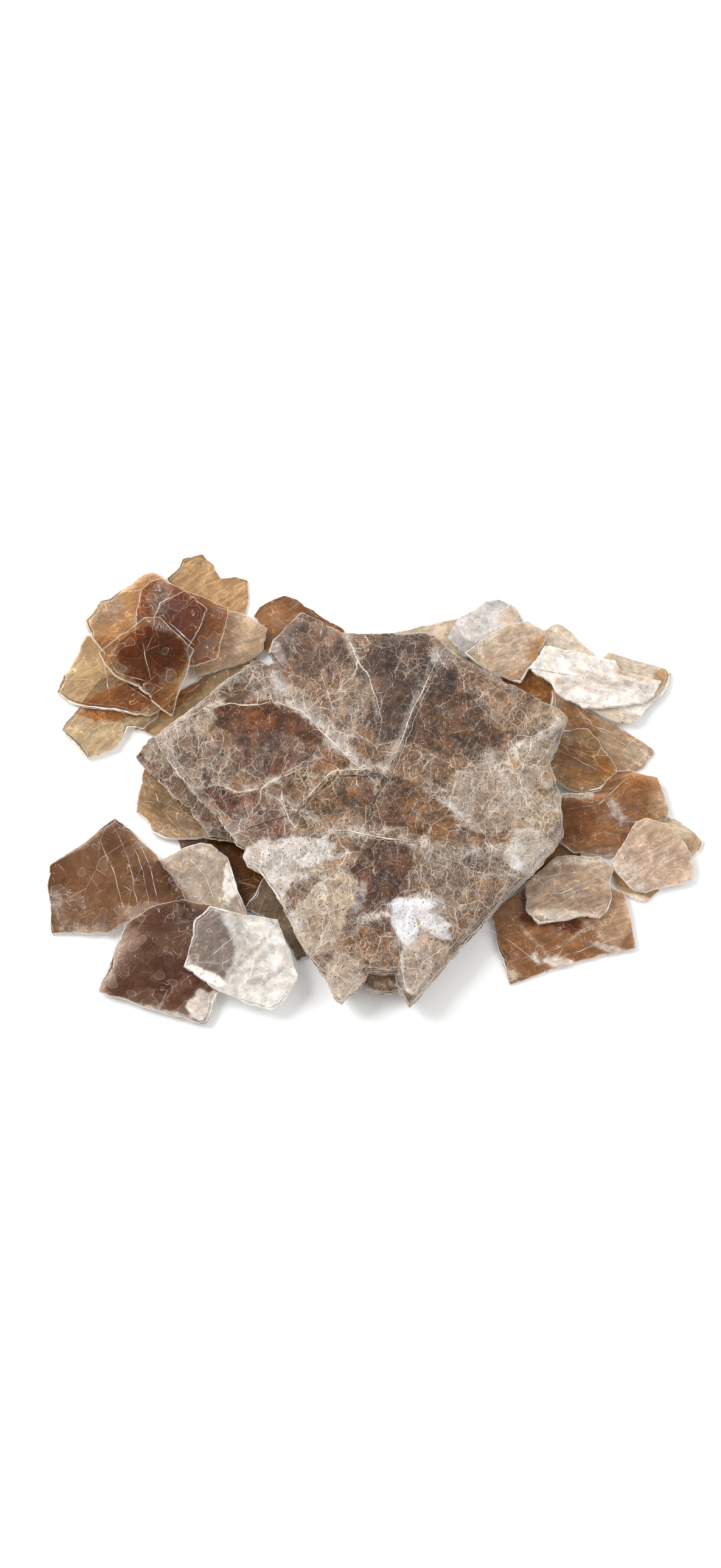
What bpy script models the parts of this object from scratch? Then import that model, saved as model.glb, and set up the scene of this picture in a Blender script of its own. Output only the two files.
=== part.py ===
"""Mica crystal: a broad book of mica with thin cleavage leaves fanned out round it.

The specimen lies flat, cleavage down, on the plane Z = 0.  +Z is up, X runs to the right
and Y to the back.  The thick book in the middle grew as one piece.  Each thinner leaf is a
piece of its own: a flat plate of even thickness with straight crystal sides that are broken
into short chips.  The leaves are laid from the table up, and each one comes to rest on the
table and on the leaves already under it, as a loose plate does.

Outlines are lists of corners in millimetres, turning either way round.  All other sizes are
in metres.
"""
import bpy
import numpy as np

MM = 0.001

# ---- driving dimensions ---------------------------------------------------------------
TOUCH_GAP = 0.32 * MM        # clear air kept between two plates that touch
CHIP_LENGTH = 2.3 * MM       # typical length of one chip along a broken side
LEAF_CHIP_DEPTH = 0.28 * MM  # how far a chip steps in or out on a leaf
BOOK_CHIP_DEPTH = 0.45 * MM  # and on the thicker book
SHORTEST_BROKEN = 1.6        # a side shorter than this many chips stays whole
CHIP_UNEVENNESS = 0.3        # how far a cut strays along its side, in chips

FOOT_BASE = 0.0              # the book's flat base stands on the table
LEDGE_UNDERSIDE = 3.3 * MM   # leaves tuck in under the book below this height
RIM_TOP = 4.9 * MM           # top of the book's widest tier
BODY_TOP = 6.5 * MM          # top of the main stack of sheets
PLATE_TOP = 7.6 * MM         # mean height of the plates that lie highest
TIER_BITE = 0.3 * MM         # how deep one tier sinks into the tier below it

STEEPEST = 0.09              # a leaf sags until its slope, rise over run, is no more than this
SLOPE_STEPS = 34             # rounds of the search for the slope a leaf settles to
PARALLEL = 1e-15             # sides whose cross product is under this never cross (m2)

# ---- mica -----------------------------------------------------------------------------
MICA_IOR = 1.58              # muscovite and its brown relatives
LEAF_ROUGHNESS = 0.25        # a fresh cleavage face
BOOK_ROUGHNESS = 0.35        # the book's crackled, weathered face
PALE = (0.62, 0.50, 0.36)    # linear red, green and blue, as are all below
AMBER = (0.46, 0.28, 0.12)
TAN = (0.42, 0.29, 0.19)
BROWN = (0.16, 0.07, 0.035)
RUST = (0.27, 0.11, 0.035)
SILVER = (0.70, 0.67, 0.64)
BOOK_TONE = (0.25, 0.18, 0.12)


# ---- outlines -------------------------------------------------------------------------
def anticlockwise(corners):
    """Corners in metres as an array, turned so that the inside is on the left."""
    points = np.array(corners, dtype=float) * MM
    following = np.roll(points, -1, axis=0)
    doubled_area = np.sum(points[:, 0] * following[:, 1] - points[:, 1] * following[:, 0])
    return points if doubled_area > 0 else points[::-1]


def chipped_rim(corners, depth, seed):
    """The outline with its sides broken into chips.

    Each side is cut into pieces about CHIP_LENGTH long.  The cuts stand in or out of the
    side by up to depth, and the corners stay where they are.
    """
    random = np.random.default_rng(seed)
    points = anticlockwise(corners)
    rim = []
    for start, end in zip(points, np.roll(points, -1, axis=0)):
        rim.append(start)
        side = end - start
        length = np.hypot(*side)
        outward = np.array([side[1], -side[0]]) / length
        chips = length / CHIP_LENGTH
        pieces = int(round(chips)) if chips > SHORTEST_BROKEN else 1
        for cut in range(1, pieces):
            along = (cut + random.uniform(-CHIP_UNEVENNESS, CHIP_UNEVENNESS)) / pieces
            rim.append(start + side * along + outward * random.uniform(-depth, depth))
    return np.array(rim)


def inside(points, rim):
    """True for each point that lies inside the rim (even-odd rule)."""
    x, y = points[:, 0:1], points[:, 1:2]
    x1, y1 = rim[:, 0], rim[:, 1]
    x2, y2 = np.roll(x1, -1), np.roll(y1, -1)
    spans = (y1 > y) != (y2 > y)
    rise = np.where(y2 == y1, 1.0, y2 - y1)
    crossing = x1 + (y - y1) / rise * (x2 - x1)
    return np.sum(spans & (x < crossing), axis=1) % 2 == 1


def crossings(rim_a, rim_b):
    """Points where a side of one rim crosses a side of the other."""
    start_a, start_b = rim_a[:, None, :], rim_b[None, :, :]
    side_a = (np.roll(rim_a, -1, axis=0) - rim_a)[:, None, :]
    side_b = (np.roll(rim_b, -1, axis=0) - rim_b)[None, :, :]
    cross = side_a[..., 0] * side_b[..., 1] - side_a[..., 1] * side_b[..., 0]
    safe = np.where(np.abs(cross) < PARALLEL, np.inf, cross)
    apart = start_b - start_a
    along_a = (apart[..., 0] * side_b[..., 1] - apart[..., 1] * side_b[..., 0]) / safe
    along_b = (apart[..., 0] * side_a[..., 1] - apart[..., 1] * side_a[..., 0]) / safe
    meets = (along_a > 0) & (along_a < 1) & (along_b > 0) & (along_b < 1)
    return (start_a + along_a[..., None] * side_a)[meets]


def shared_corners(rim_a, rim_b):
    """Corners of the region that two outlines share."""
    return np.vstack([rim_a[inside(rim_a, rim_b)], rim_b[inside(rim_b, rim_a)],
                      crossings(rim_a, rim_b)])


# ---- plates ---------------------------------------------------------------------------
def height(plane, points):
    """Height of a plane (slope in X, slope in Y, height at the origin) above points."""
    return points[:, 0] * plane[0] + points[:, 1] * plane[1] + plane[2]


def lowest(function, steps=SLOPE_STEPS):
    """The slope that gives a bowl-shaped function its least value, by narrowing in."""
    low, high = -STEEPEST, STEEPEST
    for _ in range(steps):
        third = (high - low) / 3
        if function(low + third) < function(high - third):
            high -= third
        else:
            low += third
    return (low + high) / 2


def resting_plane(rim, supports, heights):
    """The plane on which a loose plate settles on its supports.

    Its weight pulls the middle of the plate as low as the supports let it come.
    """
    middle = rim.mean(axis=0)
    offset = supports - middle

    def middle_height(slope_x, slope_y):
        return np.max(heights - offset[:, 0] * slope_x - offset[:, 1] * slope_y)

    def best_y(slope_x):
        return lowest(lambda slope_y: middle_height(slope_x, slope_y))

    slope_x = lowest(lambda slope: middle_height(slope, best_y(slope)))
    slope_y = best_y(slope_x)
    at_middle = middle_height(slope_x, slope_y)
    return slope_x, slope_y, at_middle - middle[0] * slope_x - middle[1] * slope_y


def plate_mesh(name, rim, underside, top):
    """A closed plate: the rim on the plane underside and again on the plane top."""
    count = len(rim)
    corners = np.zeros((2 * count, 3))
    corners[:, :2] = np.vstack([rim, rim])
    corners[:count, 2] = height(underside, rim)
    corners[count:, 2] = height(top, rim)
    faces = [list(range(count))[::-1], list(range(count, 2 * count))]
    for side in range(count):
        following = (side + 1) % count
        faces.append([side, following, following + count, side + count])
    mesh = bpy.data.meshes.new(name)
    mesh.from_pydata(corners.tolist(), [], faces)
    mesh.update()
    return mesh


def mica(name, colour, roughness):
    """Mica of one tone."""
    material = bpy.data.materials.new(name + "_mica")
    material.use_nodes = True
    shader = material.node_tree.nodes["Principled BSDF"]
    shader.inputs["Base Color"].default_value = (*colour, 1.0)
    shader.inputs["Roughness"].default_value = roughness
    shader.inputs["Metallic"].default_value = 0.0
    shader.inputs["IOR"].default_value = MICA_IOR
    return material


class Pile:
    """The loose leaves, laid one after another from the table up."""

    def __init__(self):
        self.laid = []

    def lay(self, name, thickness_mm, tone, corners):
        """Let one leaf settle on the table and on the leaves that are under it."""
        thickness = thickness_mm * MM
        rim = chipped_rim(corners, LEAF_CHIP_DEPTH, seed=len(self.laid) + 11)
        supports, heights = [rim], [np.zeros(len(rim))]
        for other_rim, other_top in self.laid:
            touching = shared_corners(rim, other_rim)
            supports.append(touching)
            heights.append(height(other_top, touching) + TOUCH_GAP)
        underside = resting_plane(rim, np.vstack(supports), np.concatenate(heights))
        top = (underside[0], underside[1], underside[2] + thickness)
        self.laid.append((rim, top))
        leaf = bpy.data.objects.new(name, plate_mesh(name, rim, underside, top))
        leaf.data.materials.append(mica(name, tone, LEAF_ROUGHNESS))
        bpy.context.scene.collection.objects.link(leaf)


# ---- the leaves -----------------------------------------------------------------------
def lay_back_left_fan(pile):
    """Amber and brown leaves fanned out behind the book's left shoulder."""
    pile.lay("long_amber_leaf", 0.6, AMBER, [
        (-55, 14.5), (-59, 16), (-56, 18.5), (-52.5, 21.5), (-47, 26), (-40.5, 31),
        (-32.5, 36), (-25.5, 32.5), (-32, 26.5), (-40, 21), (-47, 16), (-52.5, 13.5)])
    pile.lay("crown_leaf", 0.6, AMBER, [
        (-51.5, 55), (-48.5, 58), (-47.5, 60.5), (-44.5, 61), (-42.5, 61.5), (-41.5, 60),
        (-40, 59), (-38, 55), (-34.5, 55.5), (-31.5, 54.5), (-31, 49.5), (-32, 45.5),
        (-40, 45), (-47, 48.5)])
    pile.lay("lower_left_leaf", 0.6, AMBER, [
        (-76, 15.5), (-71.5, 22), (-67, 28.5), (-64, 30), (-57, 26.5), (-51.5, 23),
        (-53, 18), (-56, 15.5), (-59.5, 16), (-62.5, 11), (-66.5, 9), (-69.5, 8)])
    pile.lay("head_leaf", 0.7, BROWN, [
        (-30, 45), (-28.5, 47.5), (-26, 49), (-22.5, 50.5), (-19.5, 49.5), (-14, 45.5),
        (-8.5, 42), (-5, 37), (-9, 32), (-17.5, 31), (-24, 33), (-28, 37), (-27, 41.5)])
    pile.lay("left_amber_leaf", 0.6, AMBER, [
        (-70.5, 40), (-77.5, 25), (-75, 23), (-71.5, 21.5), (-66, 20.5), (-60.5, 19.5),
        (-54.5, 18.5), (-48, 23.5), (-47, 32.5), (-61, 38.5)])
    pile.lay("upper_left_leaf", 0.6, AMBER, [
        (-71, 43.5), (-69, 46), (-67.5, 49), (-65, 49.5), (-60, 53), (-56.5, 56),
        (-54.5, 56.5), (-52.5, 55.5), (-47, 50.5), (-47.5, 38.5), (-57, 33), (-65.5, 34),
        (-69, 39)])
    pile.lay("fan_amber_leaf", 0.6, AMBER, [
        (-42.5, 48), (-34.5, 46), (-30.5, 44.5), (-26.5, 41.5), (-27, 38.5), (-27.5, 35.5),
        (-32, 32.5), (-39.5, 30), (-44, 29), (-46, 37)])
    pile.lay("deep_brown_leaf", 0.6, BROWN, [
        (-58, 36), (-58.5, 44.5), (-57.5, 51), (-55, 53.5), (-52.5, 54.5), (-47, 51),
        (-41, 48.5), (-36, 46), (-37, 39), (-38.5, 32.5), (-43.5, 30.5), (-51.5, 30)])
    pile.lay("small_brown_leaf", 0.5, BROWN, [
        (-54, 43.5), (-52.5, 47.5), (-49.5, 49), (-46.5, 50.5), (-41, 45.5), (-43.5, 39),
        (-47, 32), (-52.5, 34)])
    pile.lay("front_pentagon_leaf", 0.7, BROWN, [
        (-67, 34), (-61.5, 38.5), (-56, 42.5), (-52.5, 42.5), (-44, 34), (-46, 27),
        (-47.5, 23.5), (-49, 17.5), (-52, 19.5), (-55, 23), (-59, 26), (-63, 28),
        (-65.5, 31)])


def lay_right_fan(pile):
    """Pale, silver, tan and rust leaves fanned out along the book's right side."""
    pile.lay("pale_back_leaf", 0.6, PALE, [
        (3, 40.5), (10.5, 42.5), (19.5, 44.5), (26.5, 37.5), (25, 31), (14.5, 30.5),
        (6, 33)])
    pile.lay("beige_back_leaf", 0.6, PALE, [
        (37, 41.5), (41, 41.5), (42.5, 43), (44.5, 43), (48, 40), (52.5, 35.5),
        (50.5, 31), (45, 29), (38.5, 33.5)])
    pile.lay("orange_leaf", 0.5, AMBER, [
        (26.5, 30.5), (32, 31.5), (36.5, 32), (42, 27.5), (45.5, 23), (50, 18), (45.5, 14),
        (38, 18.5), (31.5, 25)])
    pile.lay("long_tan_leaf", 0.5, TAN, [
        (42, 25.5), (50, 20.5), (55.5, 18), (63, 13), (66, 11), (66.5, 9.5), (64, 6),
        (62, 5), (54, 4), (46.5, 5.5), (41.5, 15)])
    pile.lay("white_peak_leaf", 0.6, SILVER, [
        (17, 39), (19.5, 44), (23, 46), (26.5, 49), (29.5, 49.5), (32, 48.5), (33.5, 47.5),
        (35.5, 43.5), (34, 37), (26.5, 32.5), (21, 34)])
    pile.lay("tan_back_leaf", 0.6, TAN, [
        (21, 34.5), (25, 38), (29.5, 41), (32, 42.5), (36.5, 43.5), (40.5, 41), (41, 39.5),
        (40, 36.5), (38.5, 33), (36.5, 30.5), (34.5, 27), (28.5, 29)])
    pile.lay("beige_slab_leaf", 0.9, PALE, [
        (56, 35.5), (64.5, 33), (70, 31.5), (71, 30), (70.5, 28), (68.5, 24), (64.5, 20.5),
        (63, 18), (60.5, 16.5), (57.5, 17), (53.5, 19), (49, 21.5), (50, 30.5)])
    pile.lay("silver_leaf", 0.8, SILVER, [
        (36.5, 30.5), (38.5, 33.5), (40.5, 36.5), (47, 35.5), (53.5, 33.5), (57.5, 33),
        (58.5, 30.5), (63.5, 29), (68.5, 27.5), (66.5, 23.5), (63.5, 21.5), (55.5, 20.5),
        (49.5, 20), (43, 24), (42, 26.5)])
    pile.lay("round_brown_leaf", 0.5, AMBER, [
        (40, 12), (44.5, 15), (50.5, 15.5), (53, 12.5), (56, 8), (57.5, 5), (56.5, 2.5),
        (53, 0), (49, -1), (45.5, 0), (40.5, 3)])
    pile.lay("under_hexagon_leaf", 0.6, TAN, [
        (55.5, -19.5), (60.5, -21), (67, -23.5), (67, -25), (65, -27), (64, -28), (62, -28),
        (58.5, -26), (56, -23)])
    pile.lay("golden_leaf", 0.5, AMBER, [
        (37.5, -14), (44, -13.5), (48.5, -15.5), (47.5, -20), (42, -24), (36, -25.5),
        (34.5, -20)])
    pile.lay("square_leaf", 0.7, RUST, [
        (27, -31), (28, -37.5), (31, -48.5), (38, -46), (48.5, -42.5), (61, -39.5),
        (60, -33), (58.5, -26), (52.5, -23), (44, -22), (35.5, -24)])
    pile.lay("oval_leaf", 0.7, TAN, [
        (35, -24), (37.5, -21.5), (41, -18.5), (42.5, -17.3), (47, -17), (53, -17.2),
        (56, -20.5), (55, -24), (55.5, -27.5), (54.5, -30.5), (52.5, -32.5), (48, -32),
        (45, -33), (38, -34), (35, -30.5)])
    pile.lay("back_hexagon_leaf", 0.5, TAN, [
        (62.5, -7.5), (66.5, -6.5), (71.5, -7), (75, -10), (78, -13), (77, -15),
        (74.5, -17), (72, -22), (65.5, -22.5), (61.5, -16)])
    pile.lay("rust_leaf", 0.6, RUST, [
        (43.5, -1.5), (53, -0.5), (55, 2.5), (57.5, 4.5), (61, 4.5), (67, 3), (68, 0),
        (69.5, -5), (69, -7.5), (63.5, -9), (60.5, -12.5), (58, -16.5), (52, -16.5),
        (46.5, -16), (44, -14), (43, -8)])
    pile.lay("hexagon_leaf", 0.9, TAN, [
        (61.5, -8.5), (64, -7.5), (69, -9), (72, -12), (74.5, -16.5), (75, -20),
        (74.5, -22.5), (73, -23.5), (68.5, -24.5), (63.5, -26), (61, -25.5), (56.5, -21),
        (55.5, -18), (59, -13)])


def lay_front_left_fan(pile):
    """Leaves that come out from under the book's left side, and the stack in front."""
    pile.lay("olive_leaf", 0.7, BROWN, [
        (-47.5, -12.5), (-40, -11.5), (-32, -10), (-25.5, -15.5), (-24.5, -26.5),
        (-28, -31), (-33, -30), (-39.5, -21.5), (-46.5, -16)])
    pile.lay("grey_leaf", 0.7, TAN, [
        (-31.5, -30), (-29, -26.5), (-27, -22), (-20.5, -22), (-14.5, -31), (-14, -38),
        (-16.5, -41.5), (-19, -43), (-21.5, -38), (-26, -32.5)])
    pile.lay("left_tucked_leaf", 0.8, TAN, [
        (-56, 5.5), (-57, -0.5), (-57.5, -5.5), (-55, -7.5), (-53.5, -11), (-50.5, -12.5),
        (-45, -12.5), (-39, -12.5), (-34, -11.5), (-33.5, -6.5), (-42, 2), (-51, 7.5)])
    pile.lay("pale_front_leaf", 0.6, SILVER, [
        (-52.5, -18), (-48.5, -16), (-45.5, -14.5), (-42, -13.5), (-39.5, -14),
        (-35.5, -17.5), (-34, -22), (-32, -28), (-30, -34.5), (-34.5, -37), (-43, -34),
        (-49, -26.5)])
    pile.lay("wide_brown_leaf", 0.9, BROWN, [
        (-62.5, -7), (-70, -13.5), (-78, -19), (-78, -26), (-77, -36), (-70.5, -36),
        (-63.5, -36), (-59.5, -33.5), (-51.5, -34.5), (-43.5, -31.5), (-46, -26),
        (-51.5, -18), (-57.5, -11.5), (-60.5, -8.5)])
    pile.lay("dark_block_leaf", 0.9, BROWN, [
        (-59.5, -34.5), (-62.5, -42.5), (-65.5, -50.5), (-54, -54.5), (-40.5, -58.5),
        (-39.5, -57.5), (-38.5, -53.5), (-37, -50.5), (-32, -44.5), (-29.5, -35),
        (-34.5, -31.5), (-38.5, -30), (-46, -28.5), (-54, -30.5)])
    pile.lay("clear_leaf", 0.8, SILVER, [
        (-39.5, -30.5), (-43, -33.5), (-44, -39.5), (-45.5, -45), (-41.5, -48), (-37, -51),
        (-31.5, -53.5), (-25, -55.5), (-23, -54.5), (-20.5, -51), (-18.5, -47.5),
        (-20, -43), (-23.5, -34), (-28.5, -33), (-34, -32)])


# ---- the book -------------------------------------------------------------------------
def tier(name, corners, low, top, slope=(0.0, 0.0), seed=0):
    """One tier of the book, from the flat level low to a top that may slope a little."""
    rim = chipped_rim(corners, BOOK_CHIP_DEPTH, seed)
    middle = rim.mean(axis=0)
    plane = (slope[0], slope[1], top - middle[0] * slope[0] - middle[1] * slope[1])
    return bpy.data.objects.new(name, plate_mesh(name, rim, (0.0, 0.0, low), plane))


def drawn_in(corners, inset_mm, seed):
    """The outline pulled in towards the inside by about inset_mm, unevenly."""
    random = np.random.default_rng(seed)
    points = anticlockwise(corners) / MM
    before, after = np.roll(points, 1, axis=0), np.roll(points, -1, axis=0)
    along = after - before
    inward = np.column_stack([-along[:, 1], along[:, 0]]) / np.hypot(*along.T)[:, None]
    return points + inward * inset_mm * random.uniform(0.3, 1.5, (len(points), 1))


BOOK_RIM = [
    (-25, 31.5), (-26.5, 34.5), (-25.5, 37), (-22.5, 40), (-18.5, 44), (-16.5, 43.5),
    (-8.5, 39), (-3, 38.5), (4.5, 38.5), (11.5, 39), (14, 38), (17, 35), (21, 31.5),
    (25, 29.5), (29.5, 27.5), (33, 24), (36.5, 22.5), (43, 19.5), (46, 16.5), (45, 14),
    (44, 10.5), (41.5, 5.5), (42.5, 1.5), (43.5, -2.5), (44.5, -7.5), (44.5, -12.5),
    (43, -15.5), (37.5, -22), (31.5, -28), (26, -34), (18.5, -43), (14, -48),
    (9, -54), (7.5, -55.5), (6.5, -54), (5, -52), (4, -48), (-2, -47.5), (-3, -50),
    (-7, -53.5), (-8.5, -55), (-10, -54), (-11, -52), (-12.5, -48), (-16.5, -43),
    (-20, -37), (-23.5, -29), (-26.5, -23.5), (-28.5, -21.5), (-31, -20.5), (-32, -18.5),
    (-31.5, -16.5), (-33.5, -15), (-37, -10.5), (-44, -2.5), (-48, 2.5), (-52, 8.5),
    (-53.5, 11.5), (-52.5, 13), (-49, 16), (-42, 21.5), (-36.5, 26.5), (-32, 30),
    (-29, 32), (-27, 31)]


def build_book():
    """The book: a flat-footed stack of tiers, grown together into one solid."""
    foot = tier("book_foot", [
        (-22, 27), (-9, 29), (2, 30), (11, 28.5), (24, 24), (33, 17), (35, 2), (35.5, -7),
        (26, -24.5), (23, -34), (16.5, -42), (11, -48), (8, -52), (6, -50), (4, -44),
        (-2.5, -44), (-5, -48), (-9, -51.5), (-10.5, -50), (-12, -44.5), (-11, -40),
        (-12.5, -31), (-13, -22), (-20, -16), (-28, -6), (-40, 6), (-41, 13.5), (-32, 23)],
        FOOT_BASE, LEDGE_UNDERSIDE + TIER_BITE, seed=1)
    rim = tier("book_rim", BOOK_RIM, LEDGE_UNDERSIDE, RIM_TOP, seed=2)
    body = tier("book_body", drawn_in([
        (-22, 32), (-15, 30), (-9, 35), (-8.5, 39), *BOOK_RIM[7:62], (-29, 31.5),
        (-26, 31)], 0.8, seed=3),
        RIM_TOP - TIER_BITE, BODY_TOP, slope=(0.004, -0.004), seed=3)
    left_plate = tier("book_left_plate", [
        (-28, 30.5), (-25, 30.5), (-21.5, 28), (-17.5, 26.5), (-13, 21), (-9, 16.5),
        (-3, 9.5), (0, 2), (-2.5, 1), (-10, 1), (-16, -5), (-19, -8.5), (-31.5, -12.5),
        (-35.5, -9.5), (-42.5, -2), (-46.5, 3), (-51, 9.5), (-51, 12.5), (-47, 16),
        (-41, 21), (-36, 25.5), (-31, 29.5)],
        BODY_TOP - TIER_BITE, PLATE_TOP, slope=(0.012, -0.006), seed=4)
    right_plate = tier("book_right_plate", [
        (17, 32.5), (20.5, 29), (26, 26.5), (32.5, 25), (42, 19), (44.5, 16.5), (43, 10),
        (40.5, 5.5), (41.5, 1.5), (43, -7), (43.5, -12), (42, -14), (33, -15.5),
        (26, -17), (17.5, -17.5), (12, -16), (1.5, -14), (-1, -6), (2, 0), (6, 8),
        (9, 17), (12, 24), (14.5, 29)],
        BODY_TOP - TIER_BITE, PLATE_TOP, slope=(-0.010, 0.006), seed=5)
    lower_plate = tier("book_lower_plate", [
        (-31, -17), (-22.5, -15.5), (-14.5, -13), (-7.5, -12.5), (0, -14.2), (11.5, -16.5),
        (17, -18), (26, -17.7), (33, -16.2), (40.5, -16.5), (36.5, -21.5), (30.5, -28),
        (25, -33.5), (17.5, -42.5), (13, -47.5), (8.5, -53), (6.5, -52), (5, -47.5),
        (-2.5, -46.5), (-4, -49.5), (-8.5, -53), (-10.5, -51), (-12, -46.5), (-15.5, -42),
        (-18.5, -36.5), (-22, -28.5), (-25.5, -22.5), (-30, -19.5)],
        BODY_TOP - TIER_BITE, PLATE_TOP - 0.2 * MM, slope=(0.0, 0.010), seed=6)
    corner_flake = tier("book_corner_flake", [
        (3, -30), (6, -27.5), (9, -27.2), (12, -30), (16.5, -34), (20.5, -38),
        (15.5, -44), (10, -51), (8, -53.5), (6.5, -52), (5.3, -46), (4, -37)],
        BODY_TOP - TIER_BITE, PLATE_TOP + 0.4 * MM, slope=(0.0, -0.010), seed=7)
    left_terrace = tier("book_left_terrace", [
        (-50.5, 13.5), (-55, 12), (-57, 9), (-58, 7.5), (-56.5, 5), (-54, 3), (-50.5, -0.5),
        (-46.5, -5), (-44.5, -6.5), (-43.5, -9), (-41, -11), (-39.5, -13.5), (-36, -13.5),
        (-33, -14.5), (-30, -10), (-44, 5)],
        LEDGE_UNDERSIDE - 0.9 * MM, RIM_TOP - 0.8 * MM, seed=8)
    notch_ledge = tier("book_notch_ledge", [
        (-4, -48.5), (-3, -50.2), (-1, -51.2), (1.5, -51.6), (4, -51.6), (6, -50.5),
        (6, -46), (-4, -45)],
        1.2 * MM, RIM_TOP - 0.9 * MM, seed=9)

    book = foot
    book.name = "mica_book"
    book.data.materials.append(mica("mica_book", BOOK_TONE, BOOK_ROUGHNESS))
    bpy.context.scene.collection.objects.link(book)
    for piece in (rim, body, left_plate, right_plate, lower_plate, corner_flake,
                  left_terrace, notch_ledge):
        bpy.context.scene.collection.objects.link(piece)
        piece.hide_render = True
        piece.display_type = "WIRE"
        union = book.modifiers.new("grown to " + piece.name, "BOOLEAN")
        union.operation = "UNION"
        union.object = piece


# ---- the specimen ---------------------------------------------------------------------
def centre_over_origin():
    """Shift every piece so that the whole specimen is centred over the origin."""
    solids = [item for item in bpy.context.scene.objects if item.type == "MESH"]
    corners = np.array([vertex.co[:2] for item in solids for vertex in item.data.vertices])
    middle = (corners.min(axis=0) + corners.max(axis=0)) / 2
    for item in solids:
        for vertex in item.data.vertices:
            vertex.co.x -= middle[0]
            vertex.co.y -= middle[1]


def main():
    for item in list(bpy.data.objects):
        bpy.data.objects.remove(item, do_unlink=True)
    pile = Pile()
    lay_back_left_fan(pile)
    lay_right_fan(pile)
    lay_front_left_fan(pile)
    build_book()
    centre_over_origin()


main()
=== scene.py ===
"""The looks of the mica crystal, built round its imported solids."""
import math
from functools import partial

import bpy
import numpy as np
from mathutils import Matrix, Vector


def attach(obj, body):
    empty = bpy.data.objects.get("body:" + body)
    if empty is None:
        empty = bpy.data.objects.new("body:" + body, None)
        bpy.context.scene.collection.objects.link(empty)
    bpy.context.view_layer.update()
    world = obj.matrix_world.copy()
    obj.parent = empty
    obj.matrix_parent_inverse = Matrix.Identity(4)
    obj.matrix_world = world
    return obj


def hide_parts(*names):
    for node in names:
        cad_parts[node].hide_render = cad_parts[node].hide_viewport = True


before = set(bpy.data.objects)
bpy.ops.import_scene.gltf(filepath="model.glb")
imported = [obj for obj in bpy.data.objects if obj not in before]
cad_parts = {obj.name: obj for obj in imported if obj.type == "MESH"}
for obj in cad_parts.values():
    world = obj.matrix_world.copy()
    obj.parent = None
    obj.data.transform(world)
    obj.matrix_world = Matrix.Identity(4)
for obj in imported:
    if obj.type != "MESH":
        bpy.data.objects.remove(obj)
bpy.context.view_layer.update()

# ---- the leaves behind the left shoulder ------------------------------------------------
# Ten thin amber and brown leaves of phlogopite and biotite mica, split off a crystal along
# its one perfect cleavage.  They lie loose on each other, fanned out, with broken rims.
MM = 0.001
MICA_IOR = 1.58
RIM_STEP = 0.42          # mm between points along a leaf's rim
LEAF_WEAR = 0.13         # mm, the scale of the unevenness of a leaf's rim
LEAF_RINGS = 28          # rings on a leaf's cleavage face
SMALLEST_LEAN = 0.35     # a spoke's least share square to the rim
LINE_WIDTH = 0.14        # mm, the pale line along the edge of a broken film
UNDULATION = 0.055       # mm, the gentle waves of a bent cleavage sheet
FLOOR_CLEARANCE = 0.04   # mm, how far the underside stays above the table
FILM_HEIGHTS = 18.0      # heights that a leaf's inner films are cut in
RIDGE_STEP = 0.45        # mm between points along a raised line
STEP_RIDGE = (0.17, 0.03)    # mm, width and height of the line where a top film ends


def linear(hex_colour):
    """An sRGB hex colour as linear red, green and blue."""
    values = np.array([int(hex_colour[i:i + 2], 16) for i in (1, 3, 5)]) / 255
    return np.where(values <= 0.04045, values / 12.92, ((values + 0.055) / 1.055) ** 2.4)


def eased(t):
    """t^2 (3 - 2 t), which sets off and arrives level."""
    return t * t * (3 - 2 * t)


def turned(x, y, angle):
    """x and y on axes turned by an angle: x cos + y sin, and y cos - x sin."""
    return x * np.cos(angle) + y * np.sin(angle), y * np.cos(angle) - x * np.sin(angle)


def outward_normals(points, reach):
    """Unit normals of a closed line, each from the chord between its points reach away."""
    along = np.roll(points, -reach, axis=0) - np.roll(points, reach, axis=0)
    return np.column_stack([along[:, 1], -along[:, 0]]) / np.hypot(*along.T)[:, None]


def rough_field(x, y, size, seed):
    """Smooth random heights from -1 to 1.

    Random values stand on a square lattice of the given size, turned by an angle of its own,
    and are blended between its corners by eased().
    """
    random = np.random.default_rng(seed)
    turn = random.uniform(0, np.pi)
    table = random.uniform(-1, 1, (64, 64))
    u, v = turned(x, y, turn)
    u, v = u / size + 32, v / size + 32
    i, j = np.floor(u).astype(int), np.floor(v).astype(int)
    s, t = eased(u - i), eased(v - j)
    i, j, k, m = i % 64, j % 64, (i + 1) % 64, (j + 1) % 64
    near = table[i, j] * (1 - s) + table[k, j] * s
    far = table[i, m] * (1 - s) + table[k, m] * s
    return near * (1 - t) + far * t


def layered_field(x, y, size, seed):
    """rough_field three times over, each time half as wide and half as high."""
    return sum(rough_field(x, y, size / 2 ** n, seed + n) / 2 ** n for n in range(3)) / 1.75


def loop_field(share, length, size, seed):
    """The same kind of random heights along a closed line, at shares 0 to 1 of its length."""
    knots = max(4, int(round(length / size)))
    values = np.random.default_rng(seed).uniform(-1, 1, knots)
    u = share * knots
    i = np.floor(u).astype(int) % knots
    s = eased(u - np.floor(u))
    return values[i] * (1 - s) + values[(i + 1) % knots] * s


def points_along(corners, shares_of):
    """Points on a line of corners, their shares of its length, and that length in mm.

    shares_of gives the shares that are wanted for a length.
    """
    run = np.concatenate([[0], np.cumsum(np.hypot(*np.diff(corners, axis=0).T))])
    share = shares_of(run[-1])
    points = [np.interp(share * run[-1], run, corners[:, axis]) for axis in (0, 1)]
    return np.column_stack(points), share, run[-1]


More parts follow.
